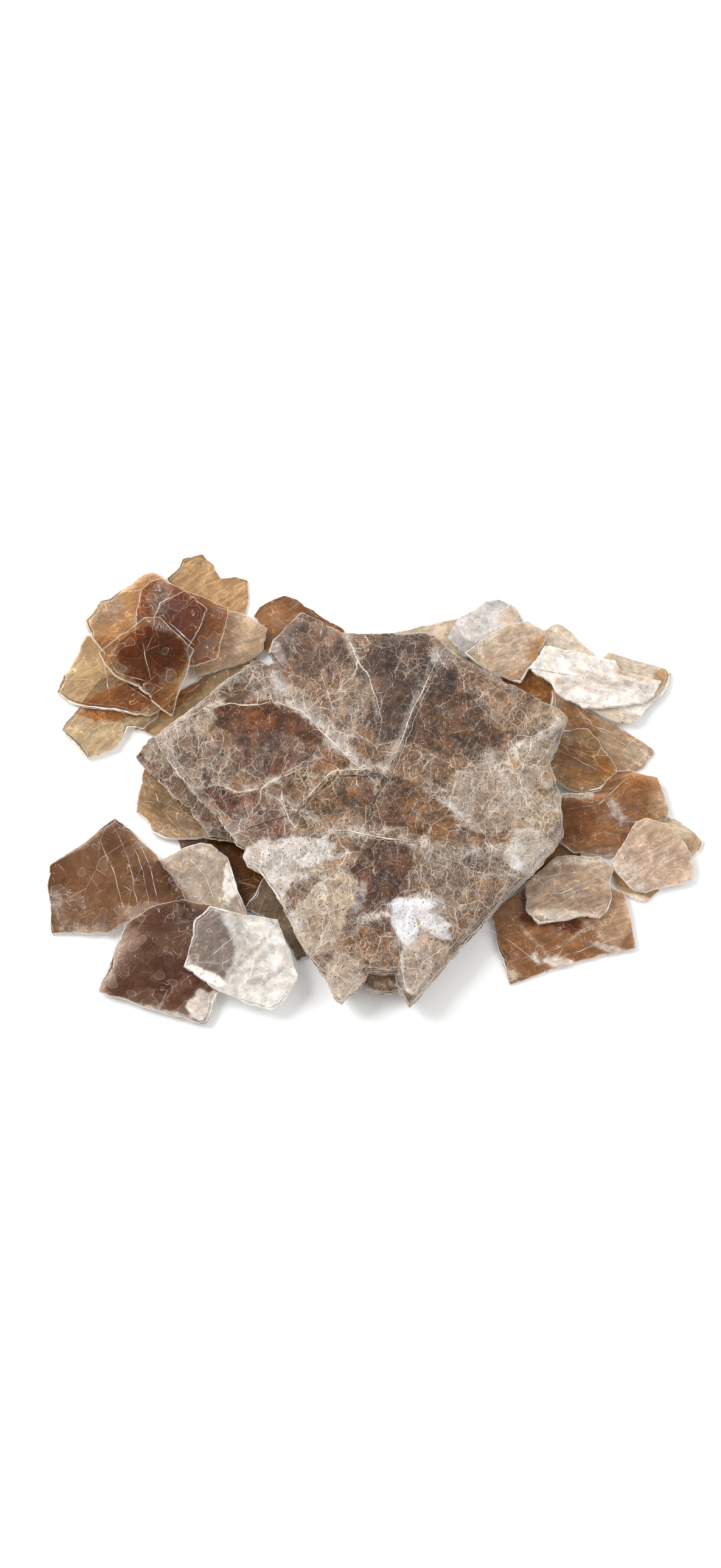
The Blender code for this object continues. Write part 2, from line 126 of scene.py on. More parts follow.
def broken_rim(corners, step, wear, seed):
    """Points every step mm round an outline that is worn and chipped.

    Each point moves along the outline's outward normal by wear times the sum of loop_field
    at 3, 1.1 and 0.5 mm, less V-shaped nicks, one to every 9 mm, of random width and depth.
    """
    points, share, length = points_along(
        np.vstack([corners, corners[:1]]),
        lambda length: np.arange(int(length / step)) / int(length / step))
    move = (0.25 * loop_field(share, length, 3.0, seed)
            + 0.3 * loop_field(share, length, 1.1, seed + 1)
            + 0.35 * loop_field(share, length, 0.5, seed + 2))
    random = np.random.default_rng(seed + 3)
    nicks = int(length / 9)
    place, width = random.uniform(0, 1, nicks), random.uniform(0.4, 0.9, nicks)
    depth = random.uniform(0.8, 2.6, nicks)
    away = np.abs(share[:, None] - place)
    away = np.minimum(away, 1 - away) * length
    move -= np.max(depth * np.clip(1 - away / width, 0, 1), axis=1)
    return points + outward_normals(points, 2) * wear * move[:, None], share, length


def plate_surface(rim, middle, rings, ledges, top, underside):
    """Points in mm, faces and marks of one closed plate.

    The outline is drawn in along spokes to the middle.  Rings run out over the top face to
    the first ledge; each ledge (inset in mm, share of the way from top to underside) adds
    one ring; two rings under the plate run back in, and a point closes each face.  The marks
    are the inset in mm, 1 on broken edges, and 1 on the underside.
    """
    spokes = rim - middle
    reach = np.hypot(*spokes.T)
    square = np.maximum(np.sum(spokes * outward_normals(rim, 5), axis=1),
                        SMALLEST_LEAN * reach)
    square = sum(np.roll(square, n) for n in range(-4, 5)) / 9
    first, last = ledges[0][0], ledges[-1][0]
    steps = (np.arange(1, rings) / (rings - 1)) ** 0.85
    edges = [1.0, 0.0] * (len(ledges) // 2 - 1) + [1.0, 1.0]
    rows = [(square - (square - first - LINE_WIDTH) * step, 0.0, 0.0, 0.0) for step in steps]
    rows += [(*ledge, line, 0.0) for ledge, line in zip(ledges, edges)]
    rows += [(last + (square - last) * share, 1.0, 0.0, 1.0) for share in (0.004, 0.5)]
    inset, share, line, under = [np.array([row[n] + 0 * reach for row in rows])
                                 for n in range(4)]
    flat = middle + spokes * (1 - inset / square)[..., None]
    flat = np.vstack([flat.reshape(-1, 2), middle, middle])
    share = np.append(share, [0, 1])
    x, y = flat.T
    z = top(x, y) * (1 - share) + underside(x, y) * share
    count = len(rim)
    here = np.arange(count)
    beside = (here + 1) % count
    start = np.arange(len(rows) - 1)[:, None] * count
    quads = np.stack([start + here, start + count + here, start + count + beside,
                      start + beside], axis=-1).reshape(-1, 4)
    last = (len(rows) - 1) * count
    crown, base = len(flat) - 2, len(flat) - 1
    fans = np.vstack([np.column_stack([0 * here + crown, here, beside]),
                      np.column_stack([last + here, 0 * here + base, last + beside])])
    marks = {"inset": np.append(inset, [square.mean()] * 2), "line": np.append(line, [0, 0]),
             "under": np.append(under, [0, 1])}
    return np.column_stack([x, y, z]), quads.tolist() + fans.tolist(), marks


def tinted(x, y, base, patches, seed, frost=0.0):
    """Linear colours and frost at points: a base, and ragged patches of other colours.

    A patch (x, y, half length, half width in mm, turn in degrees, colour, strength, frost)
    is an ellipse.  Its rim is pushed in and out by 0.34 layered_field, and fades over 0.6 mm.
    """
    shade = 1 + 0.10 * layered_field(x, y, 7.0, seed)
    colour = linear(base) * shade[:, None]
    frosting = frost + 0.1 * layered_field(x, y, 6.0, seed + 1)
    for number, row in enumerate(patches):
        px, py, length, width, turn, tone, strength, white = row
        u, v = turned(x - px, y - py, math.radians(turn))
        away = np.hypot(u / length, v / width) - 1.05
        away += 0.34 * layered_field(x, y, max(1.8, width * 0.8), seed + 7 * number)
        edge = 0.5 - away * min(length, width) / 0.6
        edge += 0.5 * rough_field(x, y, 0.9, seed + 7 * number + 3)
        amount = np.clip(edge, 0, 1) * strength
        colour = colour * (1 - amount[:, None]) + linear(tone) * amount[:, None]
        frosting = frosting * (1 - amount) + white * amount
    return np.column_stack([colour, frosting])


def raised_lines(lines, width, height, surface):
    """Points in mm and faces of thin ridges along lines of corners.

    Each is a closed tube of kite section.  The line is rounded by running means and swung
    aside by 0.25 rough_field; at the share t of its length it is width (0.3 + 0.7 sin(pi t))
    (1 + 0.5 rough_field) wide, its crest is height above surface(x, y), its sides 0.03 mm
    and its root 0.3 mm under it.
    """
    points, faces, count = [], [], 0
    for line in lines:
        path, t, _ = points_along(
            np.array(line, float),
            lambda length: np.linspace(0, 1, int(length / RIDGE_STEP) + 3))
        for _ in range(4):
            path[1:-1] = (path[:-2] + 2 * path[1:-1] + path[2:]) / 4
        path += 0.25 * np.column_stack([rough_field(*path.T, 2.5, 91),
                                        rough_field(*path.T, 2.5, 92)])
        along = np.gradient(path, axis=0)
        side = np.column_stack([-along[:, 1], along[:, 0]]) / np.hypot(*along.T)[:, None]
        swell = (0.3 + 0.7 * np.sin(np.pi * t)) * (1 + 0.5 * rough_field(*path.T, 1.3, 93))
        side = side * (width / 2 * swell)[:, None]
        rings = [np.column_stack([*(path + aside).T, surface(*(path + aside).T) + lift])
                 for aside, lift in ((side, -0.03), (0 * side, height),
                                     (-side, -0.03), (0 * side, -0.3))]
        points.append(np.stack(rings, axis=1).reshape(-1, 3))
        here = count + np.arange(len(t) - 1)[:, None] * 4
        turn, following = np.arange(4), np.roll(np.arange(4), -1)
        faces += np.stack([here + turn, here + 4 + turn, here + 4 + following,
                           here + following], axis=-1).reshape(-1, 4).tolist()
        last = count + (len(t) - 1) * 4
        faces += [[count, count + 1, count + 2, count + 3],
                  [last + 3, last + 2, last + 1, last]]
        count = last + 4
    return np.vstack(points), faces


def show_piece(name, points, faces, smooth, marks, finish, node):
    """Put a piece in the scene in place of its node, from points in mm and faces.

    Each mark has one value, vector or colour per point, for the finish to read.
    """
    mesh = bpy.data.meshes.new(name)
    mesh.from_pydata((points * MM).tolist(), [], faces)
    mesh.polygons.foreach_set("use_smooth", smooth)
    for mark, values in marks.items():
        kind, field = {1: ("FLOAT", "value"), 3: ("FLOAT_VECTOR", "vector"),
                       4: ("FLOAT_COLOR", "color")}[values.size // len(values)]
        data = mesh.attributes.new(mark, kind, "POINT").data
        data.foreach_set(field, values.astype(np.float32).ravel())
    mesh.update()
    mesh.materials.append(finish)
    piece = bpy.data.objects.new(name, mesh)
    bpy.context.scene.collection.objects.link(piece)
    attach(piece, "root")
    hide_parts(node)


def connect(node, inputs):
    """Set or link a node's inputs, given by name or in the order in which it shows them.

    A string is a hex colour, and a node stands for the first output that it shows.
    """
    shown = [socket for socket in node.inputs if socket.enabled]
    if isinstance(inputs, dict):
        shown = [node.inputs[name] for name in inputs]
        inputs = inputs.values()
    for socket, value in zip(shown, inputs):
        if isinstance(value, bpy.types.Node):
            value = next(output for output in value.outputs if output.enabled)
        if isinstance(value, bpy.types.NodeSocket):
            node.id_data.links.new(value, socket)
        else:
            socket.default_value = (*linear(value), 1.0) if isinstance(value, str) else value


def add_node(tree, kind, inputs=(), **settings):
    """Add one node, with its settings, and set or link its inputs."""
    node = tree.nodes.new("ShaderNode" + kind)
    for name, value in settings.items():
        setattr(node, name, value)
    connect(node, inputs)
    return node


def marked_material(name):
    """A new material, add_node() for it, and the marks tint, frost, inset and line."""
    material = bpy.data.materials.new(name)
    material.use_nodes = True
    add = partial(add_node, material.node_tree)
    tint, inset, line = [add("Attribute", attribute_name=mark)
                         for mark in ("tint", "inset", "line")]
    return material, add, tint, tint.outputs["Alpha"], inset.outputs["Fac"], line.outputs["Fac"]


def combined(add, operation, values):
    """Several values multiplied, or the greatest of them."""
    total = values[0]
    for value in values[1:]:
        total = add("Math", (total, value), operation=operation)
    return total


def wandering(add, vector, size, detail, reach):
    """Coordinates that wander by up to half of reach over every size, both in mm.

    They are vector + reach (noise - 0.5), so that what is drawn on them curves.
    """
    noise = add("TexNoise", (vector, 1 / (size * MM), detail))
    drift = add("VectorMath", (noise.outputs["Color"], (0.5, 0.5, 0.5)),
                operation="SUBTRACT")
    shift = add("VectorMath", (drift, reach * MM), operation="SCALE")
    return add("VectorMath", (vector, shift))


def contour(add, value, level, inner, outer, on, off):
    """A line where a value passes through level: on up to inner from it, off beyond outer."""
    gap = add("Math", (value, level), operation="SUBTRACT")
    gap = add("Math", (gap,), operation="ABSOLUTE")
    return add("MapRange", (gap, inner, outer, on, off))


def gated(add, frost, share, noise, *limits):
    """share times frost plus noise, mapped from the first two limits to the last two."""
    total = add("Math", (frost, share, noise), operation="MULTIPLY_ADD")
    return add("MapRange", (total, *limits))


def crack_nets(add, frost, share, nets):
    """Nets of cracks, laid over one another, each seen only where its own noise is high.

    A net (coordinates, cell, inner and outer half width in mm, strength, noise, low, high)
    runs along the borders of cells, and gated() opens it between low and high.
    """
    cracks = 0.0
    for source, cell, inner, outer, strength, noise, low, high in nets:
        border = add("TexVoronoi", (source, 1 / (cell * MM)), feature="DISTANCE_TO_EDGE")
        line = add("MapRange", (border, inner / cell, outer / cell, strength, 0.0))
        line = combined(add, "MULTIPLY", (line, gated(add, frost, share, noise, low, high)))
        cracks = add("Math", (cracks, line), operation="MAXIMUM")
    return cracks


def specks(add, source, cell, inner, outer, strength):
    """Round points, one to a cell of so many mm, and the cells' random colours.

    A point has its strength up to the share inner of a cell, and fades to 0 at outer.
    """
    spot = add("TexVoronoi", (source, 1 / (cell * MM)), voronoi_dimensions="2D")
    pick = add("SeparateColor", (spot.outputs["Color"],))
    return add("MapRange", (spot, inner, outer, strength, 0.0)), pick


def stained(add, tint, noise, strength, mauve, orange):
    """The tint times strength, leaning to mauve where the noise is low, else to orange."""
    warm = add("MapRange", (noise, 0.38, 0.62))
    lean = add("Mix", (warm, (*mauve, 1.0), (*orange, 1.0)), data_type="RGBA")
    lean = add("VectorMath", (lean, tint), operation="MULTIPLY")
    return add("VectorMath", (lean, strength), operation="SCALE")


def leaf_mica(name, passing, density, clearness, roughness, streaks, crackle, lobes):
    """See-through mica leaf.

    A cleavage face is as smooth as glass, so it shines and shows what lies under it.  Along
    the grain run hair-fine steps and iron-brown streaks.  Cracks, rims and shattered spots
    scatter the light and look frosted.  Inside, light takes on the colour passing, at density
    per metre.  Streaks, crackle and lobes are how strong those marks are.
    """
    material, add, tint, frost, inset, line = marked_material(name)
    under = add("Attribute", attribute_name="under").outputs["Fac"]
    grain = add("Attribute", attribute_name="grain").outputs["Vector"]
    bent = wandering(add, grain, 5.0, 2.0, 3.0)
    # iron streaks: 8 mm long and 0.7 mm wide, with dark hairs in their middle
    along = add("Mapping", {"Vector": bent, "Scale": (1 / 0.008, 1 / 0.0007, 1.0)})
    streak = add("TexNoise", (along, 1.0, 4.0, 0.65))
    tone = add("MapRange", (streak, 0.30, 0.62, 1 - streaks, 1 + streaks * 0.4))
    hair = contour(add, streak, 0.47, 0.004, 0.018, 1 - 0.9 * streaks, 1.0)
    # clouds from 3 mm across down to a tenth, darker and lighter
    clouds = add("TexNoise", (bent, 1 / 0.0026, 6.0, 0.74))
    cloud = add("SeparateColor", (clouds.outputs["Color"],)).outputs
    mottle = add("MapRange", (clouds, 0.37, 0.63, 0.71, 1.29))
    # films that end inside the leaf, in pale lines here and there: a broad noise cut in heights
    broad = add("TexNoise", (grain, 1 / 0.008, 2.0))
    patch = add("SeparateColor", (broad.outputs["Color"],)).outputs
    flight = add("Math", (broad, FILM_HEIGHTS), operation="MULTIPLY")
    floor = add("Math", (flight,), operation="FLOOR")
    floor = add("TexWhiteNoise", (floor,), noise_dimensions="1D")
    film = add("MapRange", (floor, 0.0, 1.0, 0.86, 1.08))
    film_edge = add("Math", (flight,), operation="FRACT")
    film_edge = add("MapRange", (film_edge, 0.03, 0.10, 1.0, 0.0))
    seen = add("MapRange", (patch["Blue"], 0.48, 0.58, 0.0, 0.55))
    film_edge = combined(add, "MULTIPLY", (film_edge, seen))
    # the iron stain leans to orange here and to mauve there
    shade = combined(add, "MULTIPLY", (tone, hair, mottle, film))
    body = stained(add, tint, cloud["Green"], shade, (0.97, 0.94, 0.93), (1.05, 0.95, 0.79))
    # lobes where a film has come away: crisp round spots, paler and greyer, with a thin rim
    blob = add("TexNoise", (grain, 1 / 0.0042, 0.6))
    lobe = add("MapRange", (blob, 0.640, 0.648, 0.0, 0.55 * lobes))
    rim = contour(add, blob, 0.644, 0.002, 0.007, 0.5 * lobes, 0.0)
    grey = add("VectorMath", (body, (0.55,) * 3, (0.27, 0.225, 0.205)),
               operation="MULTIPLY_ADD")
    body = add("Mix", (lobe, body, grey), data_type="RGBA")

    # cracks 0.14 mm wide: straight ones in cells of 18 by 7 mm, curved ones of 2.6 mm
    lengthwise = add("Mapping", {"Vector": grain, "Scale": (0.4, 1.0, 1.0)})
    cracks = crack_nets(add, frost, 0.35, (
        (lengthwise, 7.0, 0.01, 0.07, 0.50, patch["Green"], 0.47, 0.60),
        (bent, 2.6, 0.01, 0.07, crackle, clouds, 0.50, 0.64)))
    # the rim: a frosted line a fifth of a millimetre wide, uneven
    edge = add("Math", (inset, clouds), operation="DIVIDE")
    band = add("MapRange", (edge, 0.10, 0.42, 0.85, 0.0))
    # broken edges show their sheets, a twelfth of a millimetre each, clear and frosted
    sheets = add("Mapping", {"Vector": grain, "Scale": (1 / 0.004, 1 / 0.004, 1 / 0.00008)})
    sheets = add("TexNoise", (sheets, 1.0, 1.0))
    sheets = add("MapRange", (sheets, 0.40, 0.56, 0.70, 1.0))
    ledge = add("MapRange", (line, 0.45, 0.9))
    ledge = combined(add, "MULTIPLY", (ledge, sheets))
    # frost broken up by the clouds, and chips: white points a fifth of a millimetre across
    frosted = gated(add, frost, 1.0, cloud["Blue"], 0.70, 1.25, 0.0, 0.9)
    chip, pick = specks(add, bent, 1.0, 0.05, 0.13, 1.0)
    swarm = gated(add, frost, 1.0, patch["Red"], 0.54, 0.72, 0.0, 0.9)
    pick = add("MapRange", (pick, 0.35))
    chip = combined(add, "MULTIPLY", (chip, swarm, pick))
    white = combined(add, "MAXIMUM", (cracks, film_edge, rim, band, ledge, frosted, chip))
    pale = add("VectorMath", (tint, (0.34, 0.33, 0.31), (0.54, 0.50, 0.455)),
               operation="MULTIPLY_ADD")
    pale = add("VectorMath", (pale, mottle), operation="SCALE")
    # specks of iron oxide, a third of a millimetre across, more of them near the rim
    speck, pick = specks(add, grain, 1.7, 0.05, 0.11, 0.9)
    few = add("MapRange", (inset, 0.0, 2.0, 0.55, 0.86))
    pick = add("Math", (pick, few), operation="GREATER_THAN")
    speck = combined(add, "MULTIPLY", (speck, pick))

    # the underside lets everything through, so that the colour is laid on once
    for amount, colour in ((white, pale), (ledge, "#f3ede4"), (speck, "#4a3018"),
                           (under, "#ffffff")):
        body = add("Mix", (amount, body, colour), data_type="RGBA")
    shut = combined(add, "MAXIMUM", (white, speck))
    clear = add("MapRange", (shut, 0.0, 1.0, clearness, 0.08))
    clear = combined(add, "MAXIMUM", (clear, under))
    dull = add("MapRange", (shut, 0.0, 1.0, roughness, 0.5))
    relief = add("Math", (streak, clouds))
    relief = add("Math", (cracks, 0.8, relief), operation="MULTIPLY_ADD")
    relief = add("Math", (film, 2.0, relief), operation="MULTIPLY_ADD")
    bump = add("Bump", {"Height": relief, "Strength": 0.35, "Distance": 0.05 * MM})
    connect(material.node_tree.nodes["Principled BSDF"], {
        "Base Color": body, "Transmission Weight": clear, "Roughness": dull, "Normal": bump,
        "IOR": MICA_IOR})
    volume = add("VolumeAbsorption", (passing, density))
    connect(material.node_tree.nodes["Material Output"], {"Volume": volume})
    return material


def leaf(node, finish, base, turn, patches=(), steps=()):
    """One leaf in place of its solid.

    The outline and the two planes come from the solid.  The rim is broken finely, the top
    film ends short of it in ledges, and the whole sheet waves by UNDULATION.  Base and
    patches are for tinted(), turn is the grain's direction in degrees, and steps are lines
    where a film ends.
    """
    seed = sum(ord(letter) * (n + 3) for n, letter in enumerate(node))    # its own
    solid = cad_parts[node].data.vertices
    corners = np.zeros(len(solid) * 3)
    solid.foreach_get("co", corners)
    corners = corners.reshape(-1, 3) / MM
    flat, group = np.unique(np.round(corners[:, :2], 3), axis=0, return_inverse=True)
    high = np.full(len(flat), -1e9)
    np.maximum.at(high, group.ravel(), corners[:, 2])
    low = np.full(len(flat), 1e9)
    np.minimum.at(low, group.ravel(), corners[:, 2])
    slope = np.linalg.lstsq(np.column_stack([flat, np.ones(len(flat))]), high, rcond=None)[0]
    thickness = float(np.mean(high - low))
    middle = flat.mean(axis=0)
    order = np.argsort(np.arctan2(*(flat - middle).T[::-1]))
    rim, share, length = broken_rim(flat[order], RIM_STEP, LEAF_WEAR, seed)

    def top(x, y):
        wave = UNDULATION * layered_field(x, y, 9.0, seed + 20)
        return x * slope[0] + y * slope[1] + slope[2] + wave

    def underside(x, y):
        return np.maximum(top(x, y) - thickness, FLOOR_CLEARANCE)

    # the insets in mm of the top film, which is lost in places, and of the sheet below
    film = (0.12 + 0.9 * np.clip(3 * loop_field(share, length, 9.0, seed + 5) - 1, 0, 1)
            + 0.03 * loop_field(share, length, 0.9, seed + 6))
    below = 0.03 + 0.2 * film * (1 + loop_field(share, length, 4.0, seed + 7)) / 2
    film = np.maximum(film, below + 0.05)
    points, faces, marks = plate_surface(
        rim, middle, LEAF_RINGS,
        [(film, 0.0), (film, 0.12), (below, 0.12), (below, 0.50), (0.0, 0.50), (0.0, 1.0)],
        top, underside)
    smooth = np.ones(len(faces), bool)    # but for the broken edges
    smooth[(LEAF_RINGS - 1) * len(rim):(LEAF_RINGS + 5) * len(rim)] = False
    if steps:
        ridges, sides = raised_lines(steps, *STEP_RIDGE, top)
        faces += [[corner + len(points) for corner in side] for side in sides]
        smooth = np.append(smooth, np.zeros(len(sides), bool))
        points = np.vstack([points, ridges])
        worn = 0.75 + 0.6 * rough_field(*ridges[:, :2].T, 1.6, seed + 9)
        for mark, value in (("inset", 5.0), ("line", worn), ("under", 0.0)):
            marks[mark] = np.append(marks[mark], value + 0 * worn)
    x, y = points[:, 0], points[:, 1]
    colour = tinted(x, y, base, patches, seed + 40)
    grain = np.column_stack([*turned(x, y, math.radians(turn)), points[:, 2]])
    grain = grain * MM + (seed % 89) * 0.013
    show_piece(node + "_cleavage", points, faces, smooth,
               {"tint": colour, "grain": grain, **marks}, finish, node)


amber = leaf_mica("amber_phlogopite_cleaved", "#f0cc98", 260.0, 0.88, 0.06, 0.42, 0.7, 0.3)
brown = leaf_mica("brown_biotite_cleaved", "#d8ac80", 260.0, 0.90, 0.05, 0.20, 0.6, 1.0)
tan = leaf_mica("tan_muscovite_cleaved", "#ecd4b8", 200.0, 0.45, 0.10, 0.28, 0.8, 0.4)

leaf("long_amber_leaf", amber, "#fcdcb0", 30, [
    (-49, 24, 9, 4, 35, "#cc8c44", 0.8, 0),  # golden
], steps=[[(-53.5, 18), (-47.5, 22.5), (-43, 25.5), (-35, 29.5)],
          [(-48, 16), (-42.5, 21.5), (-32, 28)]])
leaf("crown_leaf", amber, "#f8d0a0", 35)
leaf("lower_left_leaf", amber, "#ffe6c0", 40, [
    (-59, 20.5, 11, 3.5, 15, "#c87c20", 0.95, 0),  # golden under the leaf above
], steps=[[(-67, 26.5), (-59, 15.5)], [(-73, 15.5), (-63.5, 11.5)]])
leaf("head_leaf", brown, "#d4a072", 25, [
    (-26.5, 43.5, 1.5, 2.5, 20, "#d8a874", 0.6, 0.1),  # light
    (-17, 45, 6, 1.5, -25, "#9a6438", 0.6, 0),  # dark
])
leaf("left_amber_leaf", amber, "#ffdcaa", 35, [
    (-76.5, 23.5, 1.5, 1, 0, "#e8d8c0", 0.5, 0.5),  # frosted tip
    (-61, 21.5, 10.5, 3.5, 15, "#d08830", 0.9, -0.1),  # gold over the leaf below
], steps=[[(-66.5, 33.5), (-65, 26.5), (-64, 20)], [(-63, 27.5), (-58, 23.5), (-53, 20)]])
leaf("upper_left_leaf", amber, "#f2b87c", 30, [
    (-65.5, 45, 4.5, 3, 40, "#e4ccac", 0.6, 0.2),  # pale corner
], steps=[[(-56, 53.5), (-58.5, 43), (-58.5, 36)], [(-69, 43), (-61, 41.5), (-48.5, 45)]])
leaf("fan_amber_leaf", tan, "#d4b89c", 20, [
    (-42, 38.5, 3, 7, 0, "#c08c50", 0.6, 0),  # amber by the brown
], steps=[[(-45, 27.5), (-38.5, 29), (-33, 32)], [(-42.5, 45), (-32, 37), (-27.5, 35.5)]])
leaf("deep_brown_leaf", brown, "#be762c", 40, [
    (-52.5, 48, 2.5, 4.5, -20, "#cbb8ac", 0.85, 0.15),  # lilac window
    (-40.5, 34.5, 1.5, 2, 0, "#cdb9a6", 0.8, 0),  # lost film
    (-38, 44.5, 1.5, 2.5, -20, "#c4a890", 0.7, 0),  # lost film
], steps=[[(-41, 44), (-45.5, 36.5)], [(-58, 43), (-52.5, 39.5), (-48, 29.5)]])
leaf("small_brown_leaf", brown, "#ac5e1c", 60, [
    (-52, 44, 1.5, 2.5, 0, "#c8b4a8", 0.7, 0.2),  # lilac
])
leaf("front_pentagon_leaf", brown, "#dcb888", 50, [
    (-54.5, 31.5, 8.5, 7, -10, "#985c2c", 1, -0.1),  # dark heart
    (-50.5, 25, 1.5, 2.5, 0, "#c0a898", 0.8, 0.05),  # lilac lobe
    (-61.5, 28, 2, 1.5, -30, "#bca490", 0.8, 0.05),  # lilac lobe
    (-51.5, 38.5, 2.5, 1, -30, "#ccbcb4", 0.7, 0.25),  # clear shoulder
    (-45.5, 32, 0.5, 2.5, 10, "#ccc0b8", 0.8, 0.2),  # clear edge
    (-51, 20.5, 3, 4.5, -30, "#c88c48", 0.7, 0),  # golden foot
], steps=[[(-50, 39.5), (-47, 36.5), (-44, 33.5)],
          [(-64.5, 31), (-62.5, 27), (-59, 26), (-54, 24.5), (-51, 22.5)],
          [(-56.5, 34.5), (-54, 24.5)]])

# ---- the leaves along the right side ----------------------------------------------------
# Sixteen muscovite and phlogopite leaves, split off in the same way: silver and cream at the
# back, tan and rust-brown in front.  They lie loose on each other or under the book's rim.
pale = leaf_mica("pale_muscovite_cleaved", "#f4e8d6", 160.0, 0.35, 0.10, 0.16, 0.7, 0.2)
rust = leaf_mica("rust_phlogopite_cleaved", "#d89860", 300.0, 0.72, 0.08, 0.30, 0.6, 0.4)
silver = leaf_mica("silver_muscovite_frosted", "#f6f0ea", 80.0, 0.30, 0.12, 0.12, 0.9, 0.2)

leaf("pale_back_leaf", pale, "#e0d0bc", 20)
leaf("beige_back_leaf", pale, "#e6d6c6", -30, [
    (47.5, 37.5, 4.5, 2.5, -30, "#e8dccf", 0.5, 0.3),  # frost
])
leaf("orange_leaf", tan, "#a87234", -35, [
    (37, 25, 6.5, 2, -35, "#a46a30", 0.7, 0.05),  # orange
])
leaf("long_tan_leaf", tan, "#c4a688", -30, [
    (48.5, 16.5, 6, 3, -30, "#a47444", 0.8, 0.05),  # orange brown
    (63, 7.5, 3, 2.5, -30, "#d8c4ac", 0.6, 0.4),  # pale end
], steps=[[(45.5, 21.5), (54, 13.5), (64.5, 7.5)], [(50, 16), (61.5, 11)]])
leaf("white_peak_leaf", silver, "#bcb8ba", 50, [
    (26.5, 42, 7, 4.5, 20, "#dcd8d8", 0.6, 0.45),  # frost
    (32.5, 43.5, 2, 2.5, -30, "#d8c4ac", 0.8, 0.2),  # beige
], steps=[[(21, 40.5), (26.5, 43.5), (32, 45)], [(25, 37), (34, 42)]])
leaf("tan_back_leaf", tan, "#dcc4ac", 20, [
    (39, 34.5, 1.5, 4, -25, "#c08c50", 0.7, 0),  # orange edge
    (35.5, 28, 4, 1.5, 20, "#c09060", 0.5, 0),  # orange foot
    (26.5, 36, 4, 2.5, 30, "#ddd0c0", 0.6, 0.35),  # frosted
], steps=[[(26.5, 31.5), (34, 37), (40.5, 38.5)]])
leaf("beige_slab_leaf", pale, "#e2d4c4", -20, [
    (69, 27.5, 2, 2.5, -20, "#c09458", 0.8, 0.05),  # orange end
    (63, 19, 6, 2, -20, "#f6f2ee", 0.8, 0.6),  # white foot
])
leaf("silver_leaf", silver, "#eeeae8", -15, [
    # painted sheen, partly real frost: the white band and white foot stand for light caught off the
    # leaf
    (46.5, 29.5, 8, 2, -15, "#f4f2f2", 0.7, 0.6),  # white band
    (55.5, 21, 8.5, 1.5, -10, "#f6f2f0", 0.7, 0.7),  # white foot
    (52, 27, 6, 1, -20, "#cabfbb", 0.7, 0.2),  # grey mauve folds
    (60.5, 25, 5, 1, -10, "#c8bcb8", 0.6, 0.2),
    (50, 24, 5, 0.5, -25, "#c8bcb8", 0.7, 0.1),
    (62, 27.5, 5, 1, -15, "#d4b490", 0.7, 0.1),  # tan end
    (44, 25.5, 1.5, 1, -30, "#b09070", 0.6, 0),  # brown
], steps=[[(40, 30.5), (48.5, 29), (58.5, 24.5), (67.5, 23.5)], [(41, 27.5), (50, 25), (60, 21)],
          [(39, 31), (47, 32.5), (56, 29.5), (64.5, 26)]])
leaf("round_brown_leaf", tan, "#b08a62", -25, [
    (49, 5.5, 6, 4.5, -10, "#9a6c42", 0.8, 0),  # dark heart
    (55.5, 3, 1.5, 3.5, 30, "#b07838", 0.8, 0),  # orange rim
    (45.5, 11.5, 3.5, 1, -10, "#c4a888", 0.5, 0.3),  # pale top
], steps=[[(41, 10), (49.5, 5), (57, 1.5)]])
leaf("under_hexagon_leaf", tan, "#c49e70", -20, [
    (61.5, -28.5, 4.5, 1, -20, "#e4d8c8", 0.7, 0.6),  # pale foot
])
leaf("golden_leaf", amber, "#b58a4a", 20)
leaf("square_leaf", rust, "#b8865c", 15, [
    (42, -31, 9, 5, -15, "#7a3c1a", 0.95, 0),  # dark
    (36, -38, 7, 0.5, -48, "#e0c8b0", 0.7, 0.4),  # pale streaks
    (47, -38, 8, 0.5, 32, "#dcc0a4", 0.6, 0.3),
    (52, -37, 7, 0.5, -40, "#e4ccb4", 0.6, 0.3),
    (44, -45, 7, 1.5, -15, "#f0e6dc", 0.8, 0.7),  # white foot
    (55.5, -41.5, 6, 1, -18, "#e8dccf", 0.7, 0.6),
    (56, -34, 4, 6, 0, "#ecccaa", 0.8, 0.1),  # light
    (31, -47.5, 2.5, 1.5, -20, "#ecdccc", 0.7, 0.5),  # white corner
], steps=[[(26.5, -36), (38, -44.5)], [(37.5, -45.5), (60.5, -37)]])
leaf("oval_leaf", tan, "#c8ae98", 20, [
    (46, -20, 7, 1, 0, "#d8c8b8", 0.6, 0.5),  # pale rim
    (44.5, -33.5, 8.5, 1.5, -5, "#dccdbd", 0.7, 0.55),  # pale foot
    (44.5, -26.5, 8, 1, -25, "#cfb9a4", 0.7, 0.3),  # pale streak
    (49.5, -29, 3.5, 2, -20, "#a4887a", 0.6, 0.1),  # mauve
], steps=[[(35.5, -29), (44.5, -27.5), (55, -22.5)], [(37.5, -33.5), (46, -29), (55, -26.5)],
          [(38, -24), (49, -22.5)]])
leaf("back_hexagon_leaf", tan, "#ecd8c0", -20, [
    (75.5, -15, 2, 2, 0, "#d0a470", 0.6, 0.05),  # orange
])
